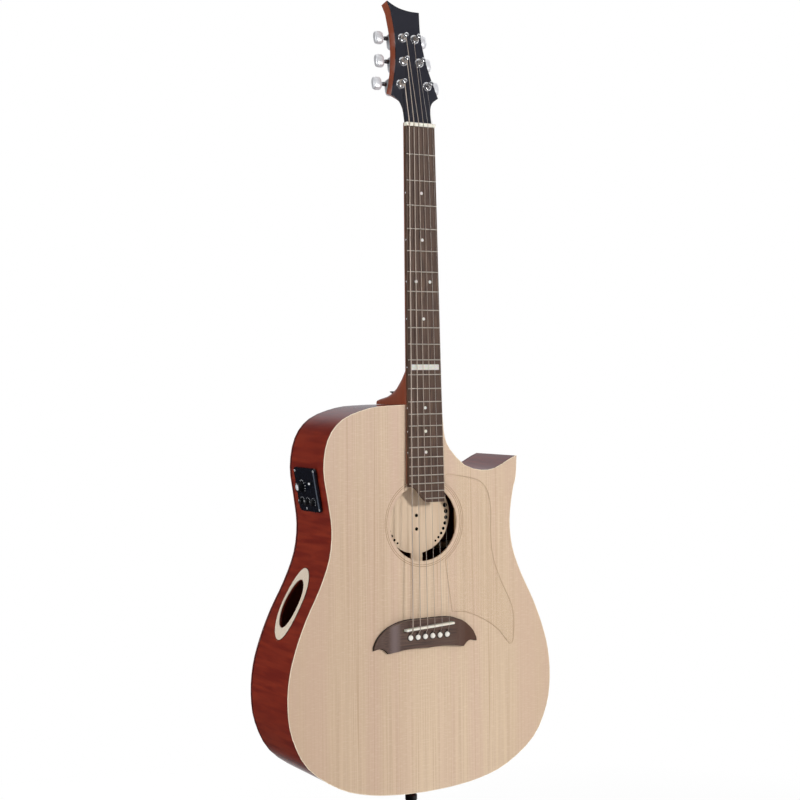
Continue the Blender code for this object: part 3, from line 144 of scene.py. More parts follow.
def hex_colour(code):
    """An sRGB hex code as the linear colour that nodes take."""
    made = []
    for i in (0, 2, 4):
        share = int(code[i:i + 2], 16) / 255
        made.append(share / 12.92 if share <= 0.04045 else ((share + 0.055) / 1.055) ** 2.4)
    return (*made, 1.0)


def add(tree, kind, inputs=None, **settings):
    """Adds a node: settings are its own, inputs pairs a socket with a value or another's output."""
    node = tree.nodes.new(kind)
    for key, value in settings.items():
        setattr(node, key, value)
    for socket, value in (inputs or {}).items():
        if isinstance(value, bpy.types.NodeSocket):
            tree.links.new(value, node.inputs[socket])
        else:
            node.inputs[socket].default_value = value
    return node


def math_node(tree, operation, a, b=0.0):
    """The output of one sum."""
    return add(tree, "ShaderNodeMath", {0: a, 1: b}, operation=operation).outputs[0]


def ramp(tree, value, low, high, start=0.0, end=1.0, **settings):
    """A value between low and high as one between start and end."""
    return add(tree, "ShaderNodeMapRange", {
        "Value": value, "From Min": low, "From Max": high, "To Min": start, "To Max": end},
        **settings).outputs[0]


def blend(tree, share, one, other, how="MIX"):
    """One colour with a share of another: each is a hex code or a node's output."""
    one, other = (hex_colour(c) if isinstance(c, str) else c for c in (one, other))
    return add(tree, "ShaderNodeMix", {0: share, 6: one, 7: other}, data_type="RGBA",
               blend_type=how).outputs[2]


def triple(tree, x=0.0, y=0.0, z=0.0):
    """Three numbers as one vector."""
    return add(tree, "ShaderNodeCombineXYZ", {"X": x, "Y": y, "Z": z}).outputs[0]


def object_place(tree):
    """Where a point is on its object."""
    return add(tree, "ShaderNodeTexCoord").outputs["Object"]


def noise(tree, place, scale, detail=2.0, roughness=0.5, distortion=0.0):
    """Soft noise: scale is per metre, one number or one for each axis."""
    if not isinstance(scale, (int, float)):
        place = add(tree, "ShaderNodeMapping", {"Vector": place, "Scale": scale}).outputs[0]
        scale = 1.0
    return add(tree, "ShaderNodeTexNoise", {
        "Vector": place, "Scale": scale, "Detail": detail, "Roughness": roughness,
        "Distortion": distortion}).outputs[0]


def link(tree, shader, **outputs):
    """Links outputs to the shader's sockets, a socket's name with _ for each space."""
    for socket, output in outputs.items():
        tree.links.new(output, shader.inputs[socket.replace("_", " ")])


def relief(tree, shader, height, strength, depth):
    """Bumps that follow a height, depth in metres."""
    bump = add(tree, "ShaderNodeBump", {"Strength": strength, "Distance": depth, "Height": height})
    link(tree, shader, Normal=bump.outputs[0])


def begin(name, **sockets):
    """A new material, its tree and its shader with plain values set."""
    made = bpy.data.materials.new(name)
    made.use_nodes = True
    tree = made.node_tree
    shader = tree.nodes["Principled BSDF"]
    for socket, value in sockets.items():
        shader.inputs[socket.replace("_", " ")].default_value = value
    return made, tree, shader


# -------------------------------- materials


def wood(name, pale, dark, axis, grain_mm, run_mm, soft, relief_mm, mirrored=False, **sockets):
    """Straight-grained wood. Fine dark lines run along one axis, over softer broad bands.

    soft is the bands' colour, their width in mm and their strength.
    """
    made, tree, shader = begin(name, **sockets)
    place = object_place(tree)
    if mirrored:  # two leaves opened like a book, the same each side of the seam
        split = add(tree, "ShaderNodeSeparateXYZ", {0: place}).outputs
        place = triple(tree, math_node(tree, "ABSOLUTE", split["X"]), split["Y"], split["Z"])

    def streaks(width_mm, length_mm, detail):
        scale = [1000 / width_mm] * 3
        scale["XYZ".index(axis)] = 1000 / length_mm
        return noise(tree, place, scale, detail, 0.6)

    lines = streaks(grain_mm, run_mm, 3.0)
    grain = blend(tree, ramp(tree, lines, 0.36, 0.60), dark, pale)
    colour, width_mm, strength = soft
    broad = ramp(tree, streaks(width_mm, run_mm * 4, 1.0), 0.40, 0.66, 0.0, strength)
    tinted = blend(tree, broad, grain, colour)
    link(tree, shader, Base_Color=tinted)
    relief(tree, shader, lines, 0.35, relief_mm / 1000)
    return made, tree, shader, place, tinted


def spruce_top():
    """Sitka spruce under a thin satin lacquer, with silk, a few darker rings and its seam."""
    made, tree, shader, place, colour = wood(
        "Sitka_Spruce_Satin", "D6BD9F", "C8AB8F", "Z", 1.5, 240, ("CFAF99", 34, 0.9), 0.02,
        mirrored=True, Roughness=0.42, Coat_Weight=0.15, Coat_Roughness=0.3)
    # Silk: pale flecks across the grain, about 8 mm wide and 1 mm high
    silk = ramp(tree, noise(tree, place, (120, 120, 900), 1.0), 0.52, 0.72, 0.0, 0.45)
    colour = blend(tree, silk, colour, "DFC9AE")
    # Odd rings that grew darker: hair lines 10 to 40 mm apart
    off_ring = math_node(tree, "ABSOLUTE", math_node(
        tree, "SUBTRACT", noise(tree, place, (60, 60, 0.3), 1.0), 0.52))
    colour = blend(tree, ramp(tree, off_ring, 0.002, 0.008, 0.38, 0.0), colour, "B28D6C")
    # Wider-grained wood towards the outline is a little browner
    off_seam = add(tree, "ShaderNodeSeparateXYZ", {0: place}).outputs["X"]
    colour = blend(tree, ramp(tree, off_seam, 0.10, 0.20, 0.0, 0.4), colour, "C8AE8E")
    # Painted shade: the bass half is multiplied a little darker, more so away from the seam, for
    # light that falls off on that side
    across = add(tree, "ShaderNodeSeparateXYZ", {0: object_place(tree)}).outputs["X"]
    colour = blend(tree, ramp(tree, across, -0.07, 0.0, 0.6, 0.0), colour, "EBE6E4", "MULTIPLY")
    # The glued centre seam, a hair line
    colour = blend(tree, ramp(tree, off_seam, 0.0001, 0.0004, 0.35, 0.0), colour, "A88868")
    link(tree, shader, Base_Color=colour)
    return made


def bridge_rosewood():
    """Oiled rosewood, with a painted reflection as a pale grey band across its bass wing, and
    browner towards its treble wing.
    """
    made, tree, shader, place, colour = wood(
        "Bridge_Rosewood_Oiled", "5E463A", "3A2922", "X", 1.0, 50, ("553D32", 5, 0.6), 0.07,
        Roughness=0.4)
    low, high = (end.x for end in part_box("bridge"))
    across = ramp(tree, add(tree, "ShaderNodeSeparateXYZ", {0: place}).outputs["X"], low, high)
    # Painted reflection: a pale grey band across the bass wing, where its sloping face would catch
    # the light
    off_reflection = math_node(tree, "ABSOLUTE", math_node(tree, "SUBTRACT", across, 0.18))
    painted_reflection = ramp(tree, off_reflection, 0.0, 0.065, 0.7, 0.0, interpolation_type="SMOOTHSTEP")
    colour = blend(tree, painted_reflection, colour, "7F6E6C")
    # Browner towards the treble end
    wing = ramp(tree, across, 0.70, 0.86, 0.0, 0.85, interpolation_type="SMOOTHSTEP")
    link(tree, shader, Base_Color=blend(tree, wing, colour, "4E2E1C"))
    return made


def flamed_sides():
    """Mahogany-stained flamed sides under gloss lacquer, with a dark binding at the back."""
    made, tree, shader = begin(
        "Flamed_Mahogany_Gloss", Roughness=0.32, Coat_Weight=1.0, Coat_Roughness=0.05)
    place = object_place(tree)
    # Flame: bars across the side, about 7 mm along it and 70 mm deep
    flame = noise(tree, place, (140, 14, 140), 2.0, 0.55, 0.6)
    colour = blend(tree, ramp(tree, flame, 0.38, 0.64), "761E10", "8E301A")
    # Pores: dark strokes 0.7 mm wide that run round the body
    pores = noise(tree, place, (25, 1500, 25))
    colour = blend(tree, ramp(tree, pores, 0.58, 0.75, 0.0, 0.45), colour, "66170E")
    reach = add(tree, "ShaderNodeVectorMath", {0: place, 1: BACK_LEAN}, operation="DOT_PRODUCT")
    start = BACK_REACH - BINDING_DEPTH
    bound = ramp(tree, reach.outputs["Value"], start - 0.0002, start + 0.0002)
    link(tree, shader, Base_Color=blend(tree, bound, colour, "3E0A0A"))
    relief(tree, shader, pores, 0.15, 0.00004)
    return made


def lacquer(name, code, roughness, coat=0.6):
    """Sprayed colour polished flat: a faint orange peel about 1.5 mm across breaks reflections."""
    made, tree, shader = begin(
        name, Base_Color=hex_colour(code), Roughness=roughness, Coat_Weight=coat,
        Coat_Roughness=0.06)
    peel = noise(tree, object_place(tree), 650.0)
    link(tree, shader, Roughness=ramp(tree, peel, 0.0, 1.0, roughness * 0.85, roughness * 1.15))
    relief(tree, shader, peel, 0.05, 0.00005)
    return made


def moulded(name, code, other, roughness, speck_mm, **sockets):
    """Moulded or cut plastic and bone: a soft cloud of two close tones and a fine speckle."""
    made, tree, shader = begin(name, Roughness=roughness, **sockets)
    place = object_place(tree)
    link(tree, shader, Base_Color=blend(tree, noise(tree, place, 90.0), code, other))
    relief(tree, shader, noise(tree, place, 1000 / speck_mm, 1.0), 0.2, 0.00003)
    return made


def metal(name, code, roughness, line_mm=0.0, axis="Z", metallic=1.0):
    """Bare or plated metal: polished, or with fine lines across one axis where it was drawn.

    A metallic value under 1 is a satin or coated metal, which scatters a little light as well.
    """
    made, tree, shader = begin(
        name, Base_Color=hex_colour(code), Metallic=metallic, Roughness=roughness)
    scale = [300.0] * 3
    if line_mm:
        scale = [50.0] * 3
        scale["XYZ".index(axis)] = 1000 / line_mm
    rub = noise(tree, object_place(tree), scale)
    link(tree, shader, Roughness=ramp(tree, rub, 0.0, 1.0, roughness * 0.7, roughness * 1.4))
    if line_mm:
        relief(tree, shader, rub, 0.4, line_mm / 8000)
    return made


def pearl():
    """Mother-of-pearl: flakes about 1.5 mm across that turn from pink to green."""
    made, tree, shader = begin("Mother_Of_Pearl", Roughness=0.22, Coat_Weight=0.5)
    place = object_place(tree)
    flake = add(tree, "ShaderNodeTexVoronoi", {"Vector": place, "Scale": 650.0})
    pale = blend(tree, noise(tree, place, 400.0, 3.0), "D9DED2", "E9DFD8")
    link(tree, shader, Base_Color=blend(tree, 0.16, pale, flake.outputs["Color"]))
    return made


def clear_film():
    """Clear vinyl film, nearly unseen: a thin gloss over the wood."""
    made, tree, shader = begin(
        "Clear_Vinyl_Film", Base_Color=hex_colour("D9C4A2"), Roughness=0.3, Alpha=0.03)
    scuff = noise(tree, object_place(tree), 60.0, 3.0)
    link(tree, shader, Roughness=ramp(tree, scuff, 0.0, 1.0, 0.08, 0.2))
    made.surface_render_method = "BLENDED"
    return made


SPRUCE_TOP = spruce_top()
SPRUCE_BARE = wood("Spruce_Bare", "CDB08A", "B4946C", "Z", 1.4, 160, ("C4A67E", 9, 0.5), 0.04,
                   Roughness=0.7)[0]
SIDES = flamed_sides()
BACK = wood("Back_Mahogany_Gloss", "7E2E1C", "5E1A10", "Z", 1.2, 90, ("6E2416", 16, 0.6), 0.02,
            mirrored=True, Roughness=0.3, Coat_Weight=0.8, Coat_Roughness=0.07)[0]
NECK_WOOD = wood("Neck_Mahogany_Satin", "9A5033", "7A3823", "Z", 0.9, 60, ("86422B", 7, 0.6), 0.03,
                 Roughness=0.34, Coat_Weight=0.5, Coat_Roughness=0.15)[0]
BOARD_WOOD = wood("Board_Rosewood_Oiled", "624A3B", "33231B", "Z", 0.8, 45, ("4A352A", 5, 0.7),
                  0.08, Roughness=0.5, Specular_IOR_Level=0.25)[0]
BRIDGE_WOOD = bridge_rosewood()
MAPLE = wood("Maple_Satin", "E9DBC8", "DCC8B0", "Z", 1.1, 70, ("E2D0BA", 8, 0.5), 0.02,
             Roughness=0.45, Coat_Weight=0.2, Coat_Roughness=0.3)[0]
MAPLE_BEAM = wood("Maple_Beam_Sanded", "DCC4A8", "CBAF90", "Z", 1.3, 90, ("D2B79A", 9, 0.6), 0.02,
                  Roughness=0.55)[0]
LIME = wood("Basswood_Bare", "B89A70", "9C7E56", "Z", 1.2, 60, ("A88A62", 8, 0.5), 0.04,
            Roughness=0.75)[0]
HEAD_BLACK = lacquer("Headstock_Black_Lacquer", "303037", 0.17)
PANEL_BLACK = lacquer("Panel_Gloss_ABS", "0F131B", 0.16, 0.3)
KNOB_BLACK = moulded("Knob_Black_ABS", "17181C", "1F2126", 0.38, 0.5)
PEG_BLACK = lacquer("Peg_Black_Nickel", "08080A", 0.3, 0.2)
DARK_LINE = moulded("Inlay_Dark_Fibre", "4A3022", "3A241A", 0.5, 0.6)
ROSETTE_LINE = moulded("Rosette_Brown_Fibre", "A07E5C", "8E6C4C", 0.5, 0.6)
# A painted highlight along the top's rounded edge
EDGE_PAINTED_HIGHLIGHT = moulded("Spruce_Edge_Painted_Highlight", "EFE0C8", "E6D4B8", 0.5, 0.8)
FILM_SHADE = moulded("Film_Edge_Shade", "B8997A", "A88866", 0.5, 0.6)
# Painted shade: dark, for pin holes, the bridge's foot and the screws' crosses
PAINTED_SHADE = moulded("Painted_Shade_Dark", "1E1410", "140D0A", 0.6, 0.5)
# Painted shade for the inside of the beam's bores
BORE_PAINTED_SHADE = moulded("Bore_Painted_Shade", "0C0907", "070505", 0.9, 0.5, Specular_IOR_Level=0.1)
BONE = moulded("Nut_Bone", "EFE8DA", "E4DAC6", 0.34, 0.7, Subsurface_Weight=0.1)
PIN_WHITE = moulded("Pin_Ivory_Plastic", "F2EEE6", "E9E3D8", 0.25, 0.6, Coat_Weight=0.3)
MARK_WHITE = moulded("Printed_White", "E8EAEC", "DADCDE", 0.5, 0.5)
RIDGE_PAINTED_HIGHLIGHT = lacquer("Ridge_Painted_Highlight", "5A616C", 0.3, 0.3)
CHROME = metal("Polished_Chrome", "E2E3E6", 0.13, metallic=0.85)
BUTTON_CHROME = metal("Satin_Chrome", "E6E7EA", 0.36, metallic=0.5)
KNOB_END = metal("Turned_Aluminium", "F2F2F4", 0.45, metallic=0.3)
STEEL_ROD = metal("Plain_Steel", "6A6A6E", 0.35, 0.4)
FRET_METAL = metal("Nickel_Silver_Frets", "C2BAAE", 0.34, 0.3, "X", 0.7)
# Real windings are 0.3 mm apart; here 0.6 mm, so that they show
STRING_PLAIN = metal("Plain_Steel_String", "C8C0B8", 0.42, metallic=0.6)
STRING_WOUND = metal("Bronze_Wound_String", "B9AA9D", 0.5, 0.6, "Z", 0.5)
PEARL = pearl()
FILM = clear_film()

# -------------------------------- shape helpers


def in_scene(name, data):
    """An object of some data, in the scene."""
    made = bpy.data.objects.new(name, data)
    bpy.context.scene.collection.objects.link(made)
    return made


def plain_mesh(holder):
    """The mesh that an object's curve or modifiers make; the object itself goes."""
    made = bpy.data.meshes.new_from_object(
        holder.evaluated_get(bpy.context.evaluated_depsgraph_get()))
    bpy.data.objects.remove(holder)
    return made


def settle(name, mesh, look, body="guitar", stands_for=(), corner=38, bevel_mm=0.0,
           rounds=0, where=None):
    """Makes a piece of a mesh: its place, smooth faces, sharp corners, look and body."""
    if where:
        mesh.transform(where)
    mesh.name = name
    mesh.materials.clear()
    mesh.materials.append(look)
    mesh.polygons.foreach_set("use_smooth", [True] * len(mesh.polygons))
    mesh.polygons.foreach_set("material_index", [0] * len(mesh.polygons))
    mesh.set_sharp_from_angle(angle=math.radians(corner))
    made = in_scene(name, mesh)
    if rounds:
        soft = made.modifiers.new("Rounding", "SUBSURF")
        soft.levels = soft.render_levels = rounds
    if bevel_mm:
        edge = made.modifiers.new("Broken_Edge", "BEVEL")
        edge.width = bevel_mm / 1000
        edge.segments = 2
        edge.limit_method = "ANGLE"
        edge.angle_limit = math.radians(corner)
        edge.harden_normals = True
    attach(made, body)
    if stands_for:
        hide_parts(*stands_for)


def as_mesh(shape, outwards=True):
    """A bmesh as a mesh, its faces turned outwards unless they are right already."""
    if outwards:
        bmesh.ops.recalc_face_normals(shape, faces=shape.faces[:])
    mesh = bpy.data.meshes.new("shape")
    shape.to_mesh(mesh)
    shape.free()
    return mesh


def flatten(shape, degrees):
    """Joins faces that lie within an angle of each other."""
    bmesh.ops.dissolve_limit(shape, angle_limit=math.radians(degrees), verts=shape.verts[:],
                             edges=shape.edges[:])


def welded(node):
    """A CAD node's shape with its loose triangles joined and its flat faces made whole."""
    shape = bmesh.new()
    shape.from_mesh(NODES[node].data)
    bmesh.ops.remove_doubles(shape, verts=shape.verts[:], dist=0.00001)
    flatten(shape, 0.3)
    return shape


def edge_loops(edges):
    """Closed chains of edges as lists of points, the longest round first."""
    left, loops = set(edges), []
    while left:
        edge = left.pop()
        chain = [edge.verts[0], edge.verts[1]]
        while True:
            more = [e for e in chain[-1].link_edges if e in left]
            if not more:
                break
            left.discard(more[0])
            chain.append(more[0].other_vert(chain[-1]))
        if chain[0] == chain[-1] and len(chain) > 12:
            loops.append([v.co.copy() for v in chain[:-1]])
    return sorted(loops, key=lambda loop: -sum((a - b).length for a, b in zip(loop, loop[1:])))


def face_loops(node, way=-1):
    """The outlines of a node's front face (way -1) or back face (way 1), the outer one first."""
    shape = welded(node)
    face_y = max(way * v.co.y for v in shape.verts)
    flat = {f for f in shape.faces if way * f.normal.y > 0.99
            and way * f.calc_center_median().y > face_y - 1e-4}
    loops = edge_loops([e for e in shape.edges if len(flat & set(e.link_faces)) == 1])
    shape.free()
    return loops


def dressed(node, look, corner=38, bevel_mm=0.3):
    """The solid itself, with smooth curves and broken edges, in its own finish."""
    settle(f"{node}_finished", as_mesh(welded(node), False), look,
           NODES[node]["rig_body"], (node,), corner, bevel_mm)


def turned(profile, sides=40, closed=False):
    """A turned shape round z: profile is (radius, height), and closed joins its ends."""
    shape = bmesh.new()
    angles = [2 * math.pi * i / sides for i in range(sides)]
    rings = []
    for radius, height in profile:
        if radius < 1e-6:
            rings.append([shape.verts.new((0, 0, height))])
        else:
            rings.append([shape.verts.new((radius * math.cos(a), radius * math.sin(a), height))
                          for a in angles])
    pairs = list(zip(rings, rings[1:])) + ([(rings[-1], rings[0])] if closed else [])
    for one, two in pairs:
        for i in range(sides):
            j = (i + 1) % sides
            corners = [one[i % len(one)], one[j % len(one)], two[j % len(two)], two[i % len(two)]]
            face = list(dict.fromkeys(corners))
            if len(face) > 2:
                shape.faces.new(face)
    return as_mesh(shape)


def plate(outline, low, high):
    """A flat shape of (x, y) points between two heights."""
    shape = bmesh.new()
    floor = shape.faces.new([shape.verts.new((x, y, low)) for x, y in outline])
    raised = bmesh.ops.extrude_face_region(shape, geom=[floor])
    lifted = [v for v in raised["geom"] if isinstance(v, bmesh.types.BMVert)]
    bmesh.ops.translate(shape, verts=lifted, vec=(0, 0, high - low))
    return as_mesh(shape)


def rounded(width, height, radius, x=0.0, y=0.0, steps=6):
    """The outline of a rectangle with rounded corners round (x, y)."""
    made = []
    for k, (sx, sy) in enumerate(((1, 1), (-1, 1), (-1, -1), (1, -1))):
        for i in range(steps + 1):
            a = math.pi / 2 * (k + i / steps)
            made.append((x + sx * (width / 2 - radius) + radius * math.cos(a),
                         y + sy * (height / 2 - radius) + radius * math.sin(a)))
    return made


def line_round(name, points, radius, look, sides=8):
    """A thin closed line of round section through points."""
    curve = bpy.data.curves.new(name, "CURVE")
    curve.dimensions = "3D"
    curve.bevel_depth = radius
    curve.bevel_resolution = sides // 4
    spline = curve.splines.new("POLY")
    spline.points.add(len(points) - 1)
    for spot, point in zip(spline.points, points):
        spot.co = (*point, 1)
    spline.use_cyclic_u = True
    settle(name, plain_mesh(in_scene(name, curve)), look, corner=80)


def cut(mesh, cutter):
    """One mesh with another taken out of it."""
    holder, tool = in_scene("cut_holder", mesh), in_scene("cut_tool", cutter)
    taking = holder.modifiers.new("Cut", "BOOLEAN")
    taking.object, taking.operation, taking.solver = tool, "DIFFERENCE", "EXACT"
    made = plain_mesh(holder)
    bpy.data.objects.remove(tool)
    return made


# -------------------------------- repeats, by Geometry Nodes


def new_tree(name, sizes):
    """A geometry tree with its named inputs, and the group input and output nodes."""
    tree = bpy.data.node_groups.new(name, "GeometryNodeTree")
    tree.interface.new_socket("Geometry", in_out="INPUT", socket_type="NodeSocketGeometry")
    for label, value in sizes.items():
        kind = "NodeSocketInt" if isinstance(value, int) else "NodeSocketFloat"
        socket = tree.interface.new_socket(label, in_out="INPUT", socket_type=kind)
        socket.default_value = value
    tree.interface.new_socket("Material", in_out="INPUT", socket_type="NodeSocketMaterial")
    tree.interface.new_socket("Geometry", in_out="OUTPUT", socket_type="NodeSocketGeometry")
    return tree, tree.nodes.new("NodeGroupInput").outputs, tree.nodes.new("NodeGroupOutput")


def close_tree(tree, inputs, output, instances):
    """Ends a tree in real geometry with its material."""
    real = add(tree, "GeometryNodeRealizeInstances", {0: instances})
    done = add(tree, "GeometryNodeSetMaterial", {
        0: real.outputs[0], "Material": inputs["Material"]})
    tree.links.new(done.outputs[0], output.inputs[0])
    return tree


def fretwire_tree():
    """Crowned frets spaced by the twelfth root of two, as wide as the tapering board.

    Past the bass side's length the board's end is a curve, which the last frets meet.
    """
    tree, given, output = new_tree("Fretwire", {
        "Scale Length": SCALE_LENGTH, "Count": FRET_COUNT, "Nut Half": BOARD_HALF_NUT,
        "End Half": BOARD_HALF_END, "Run": BOARD_RUN, "Bass Length": BOARD_SHORT,
        "Treble Length": BOARD_LONG, "Crown": FRET_CROWN, "Rise": FRET_RISE, "Inset": 0.0004,
        "Curve Start": -0.0150, "Curve End": 0.0005})
    calc = partial(math_node, tree)
    row = add(tree, "GeometryNodeMeshLine", {"Count": given["Count"]})
    number = calc("ADD", add(tree, "GeometryNodeInputIndex").outputs[0], 1.0)
    power = calc("POWER", 2.0, calc("DIVIDE", number, -12.0))
    down = calc("MULTIPLY", given["Scale Length"], calc("SUBTRACT", 1.0, power))
    share = calc("DIVIDE", down, given["Run"])
    widen = calc("MULTIPLY", share, calc("SUBTRACT", given["End Half"], given["Nut Half"]))
    half = calc("SUBTRACT", calc("ADD", given["Nut Half"], widen), given["Inset"])
    past = calc("GREATER_THAN", down, given["Bass Length"])
    curve_edge = ramp(tree, down, given["Bass Length"], given["Treble Length"],
                      given["Curve Start"], given["Curve End"])
    full_edge = calc("MULTIPLY", half, -1.0)
    left = calc("ADD", full_edge, calc(
        "MULTIPLY", past, calc("SUBTRACT", curve_edge, full_edge)))
    middle = calc("DIVIDE", calc("ADD", left, half), 2.0)
    reach = calc("DIVIDE", calc("SUBTRACT", half, left), 2.0)
    rows = add(tree, "GeometryNodeSetPosition", {
        0: row.outputs[0], "Position": triple(tree, middle, calc("MULTIPLY", down, -1.0))})
    line = add(tree, "GeometryNodeCurvePrimitiveLine", {"Start": (-1, 0, 0), "End": (1, 0, 0)})
    ring = add(tree, "GeometryNodeCurvePrimitiveCircle", {"Resolution": 14, "Radius": 1.0})
    oval = add(tree, "GeometryNodeTransform", {0: ring.outputs[0], "Scale": triple(
        tree, calc("DIVIDE", given["Crown"], 2.0), given["Rise"], 1.0)})
    wire = add(tree, "GeometryNodeCurveToMesh", {
        "Curve": line.outputs[0], "Profile Curve": oval.outputs[0], "Fill Caps": True})
    frets = add(tree, "GeometryNodeInstanceOnPoints", {
        "Points": rows.outputs[0], "Instance": wire.outputs[0],
        "Scale": triple(tree, reach, 1.0, 1.0)})
    return close_tree(tree, given, output, frets.outputs[0])


def at_points(tree, given, shape):
    """The output of a shape set on each point, scaled across by the point's own size."""
    size = add(tree, "GeometryNodeInputNamedAttribute", {"Name": "size"}, data_type="FLOAT")
    return add(tree, "GeometryNodeInstanceOnPoints", {
        "Points": given["Geometry"], "Instance": shape,
        "Scale": triple(tree, size.outputs[0], size.outputs[0], 1.0)}).outputs[0]


def disc_tree():
    """A thin disc on each point."""
    tree, given, output = new_tree("Discs_On_Points", {
        "Radius": DISC_RADIUS, "Thickness": 0.0002, "Sides": 28})
    disc = add(tree, "GeometryNodeMeshCylinder", {
        "Vertices": given["Sides"], "Radius": given["Radius"], "Depth": given["Thickness"]})
    return close_tree(tree, given, output, at_points(tree, given, disc.outputs[0]))


def bars_tree():
    """Small bars set round each point like a dial's marks or a knob's flutes."""
    tree, given, output = new_tree("Bars_Round_Points", {
        "Count": 11, "Radius": TICK_RING, "Start": -0.9, "Sweep": 4.7, "Length": 0.001,
        "Width": 0.0003, "Height": 0.0001})
    calc = partial(math_node, tree)
    row = add(tree, "GeometryNodeMeshLine", {"Count": given["Count"]})
    index = add(tree, "GeometryNodeInputIndex").outputs[0]
    step = calc("DIVIDE", given["Sweep"], calc(
        "MAXIMUM", calc("SUBTRACT", given["Count"], 1.0), 1.0))
    angle = calc("ADD", given["Start"], calc("MULTIPLY", index, step))
    spot = triple(tree, calc("MULTIPLY", given["Radius"], calc("COSINE", angle)),
                  calc("MULTIPLY", given["Radius"], calc("SINE", angle)))
    ring = add(tree, "GeometryNodeSetPosition", {0: row.outputs[0], "Position": spot})
    bar = add(tree, "GeometryNodeMeshCube", {
        "Size": triple(tree, given["Length"], given["Width"], given["Height"])})
    bars = add(tree, "GeometryNodeInstanceOnPoints", {
        "Points": ring.outputs[0], "Instance": bar.outputs[0],
        "Rotation": triple(tree, z=angle)})
    whole = add(tree, "GeometryNodeRealizeInstances", {0: bars.outputs[0]})
    return close_tree(tree, given, output, at_points(tree, given, whole.outputs[0]))


FRETWIRE, DISCS, BARS = fretwire_tree(), disc_tree(), bars_tree()


def grown(name, tree, look, slot, spots=((0, 0, 0),), sizes=None, body="guitar", bevel_mm=0.0,
          where=None, **values):
    """Runs a tree on a mesh of points, and settles the plain mesh that it makes as a piece."""
    mesh = bpy.data.meshes.new("points")
    mesh.from_pydata([Vector(spot) for spot in spots], [], [])
    mesh.attributes.new("size", "FLOAT", "POINT").data.foreach_set(
        "value", list(sizes or [1.0] * len(spots)))
    holder = in_scene(name, mesh)
    modifier = holder.modifiers.new("Repeats", "NODES")
    modifier.node_group = tree
    keys = {s.name: s.identifier for s in tree.interface.items_tree if s.in_out == "INPUT"}
    modifier[keys["Material"]] = look
    for label, value in values.items():
        modifier[keys[label.replace("_", " ")]] = value
    made = plain_mesh(holder)
    if "size" in made.attributes:
        made.attributes.remove(made.attributes["size"])
    settle(name, made, look, body, bevel_mm=bevel_mm, where=where)


# -------------------------------- body


def finish_body():
    """The body's solids, the film, the painted shade over the beam's bores and the thin lines on
    the soundboard.
    """
    dressed("soundboard", SPRUCE_TOP, bevel_mm=0.7)
    dressed("back_plate", BACK, bevel_mm=0.4)
    for side in ("rib_bass", "rib_treble", "rib_cutaway"):
        dressed(side, SIDES, 50, 0.25)
    for strip in ("lining_top", "lining_back", "neck_block", "tail_block"):
        dressed(strip, LIME, bevel_mm=0.4)
    for braces in ("top_bracing", "back_bracing"):
        dressed(braces, SPRUCE_BARE, bevel_mm=0.8)
    dressed("centre_beam", MAPLE_BEAM, bevel_mm=0.4)
    dressed("pickguard", FILM, bevel_mm=0.2)
    # A fine brown line of shadow where the film ends
    line_round("film_edge", face_loops("pickguard")[0], 0.00018, FILM_SHADE, 4)
    # Painted highlight: a pale cream line round the outline, where the top's rounded edge catches
    # the light
    rim = [p + Vector((0, 0.0005, 0)) for p in face_loops("soundboard")[0]]
    line_round("top_edge_painted_highlight", rim, 0.0005, EDGE_PAINTED_HIGHLIGHT)
    finish_bores()
    for number, radius in enumerate(ROSETTE_RADII, 1):
        inner, outer, low, high = radius - ROSETTE_HALF, radius + ROSETTE_HALF, -0.0003, 0.00004
        ring = turned([(inner, low), (outer, low), (outer, high), (inner, high)], 120, True)
        settle(f"rosette_line_{number}", ring, ROSETTE_LINE,
               where=TOP @ Matrix.Translation((0, SOUNDHOLE_Z, 0)))


def finish_bores():
    """Painted shade: dark discs over the beam's bores, a little wider than them, so that they read
    as deep.
    """
    shape = welded("centre_beam")
    face_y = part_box("centre_beam")[0].y
    # A bore's wall is a ring of small faces that look across the beam
    left = {f for f in shape.faces if abs(f.normal.y) < 0.3 and f.calc_area() < 2e-5}
    spots, sizes = [], []
    while left:
        wall, edge = set(), [left.pop()]
        while edge:
            face = edge.pop()
            wall.add(face)
            near = {n for e in face.edges for n in e.link_faces} & left
            left -= near
            edge += near
        verts = {v for f in wall for v in f.verts}
        centre = sum((v.co for v in verts), Vector()) / len(verts)
        radius = max(math.hypot(v.co.x - centre.x, v.co.z - centre.z) for v in verts)
        if len(wall) > 6 and radius < BORE_LARGEST:
            spots.append((centre.x, centre.z, TOP_FACE - face_y))
            sizes.append(BORE_SHADE_REACH * radius / DISC_RADIUS)
    shape.free()
    grown("beam_bore_painted_shade", DISCS, BORE_PAINTED_SHADE, "maple", spots, sizes, where=TOP, Sides=20)


def finish_port():
    """The maple ring round the side port, with a fine dark line where it meets the side."""
    dressed("soundport_ring", MAPLE, 42, 0.2)
    shape = welded("soundport_ring")
    loops = edge_loops([e for e in shape.edges if len(e.link_faces) == 2
                        and e.calc_face_angle(0) > math.radians(50)])
    shape.free()
    # Of the two longest edges, the one further in
    against = max(loops[:2], key=lambda loop: sum(p.x for p in loop))
    line_round("port_outline", against, 0.00045, DARK_LINE)


# -------------------------------- neck and board


def between(number):
    """How far from the nut the middle of a fret's space is."""
    ends = [SCALE_LENGTH * (1 - 2 ** (-n / 12)) for n in (number - 1, number)]
    return sum(ends) / 2


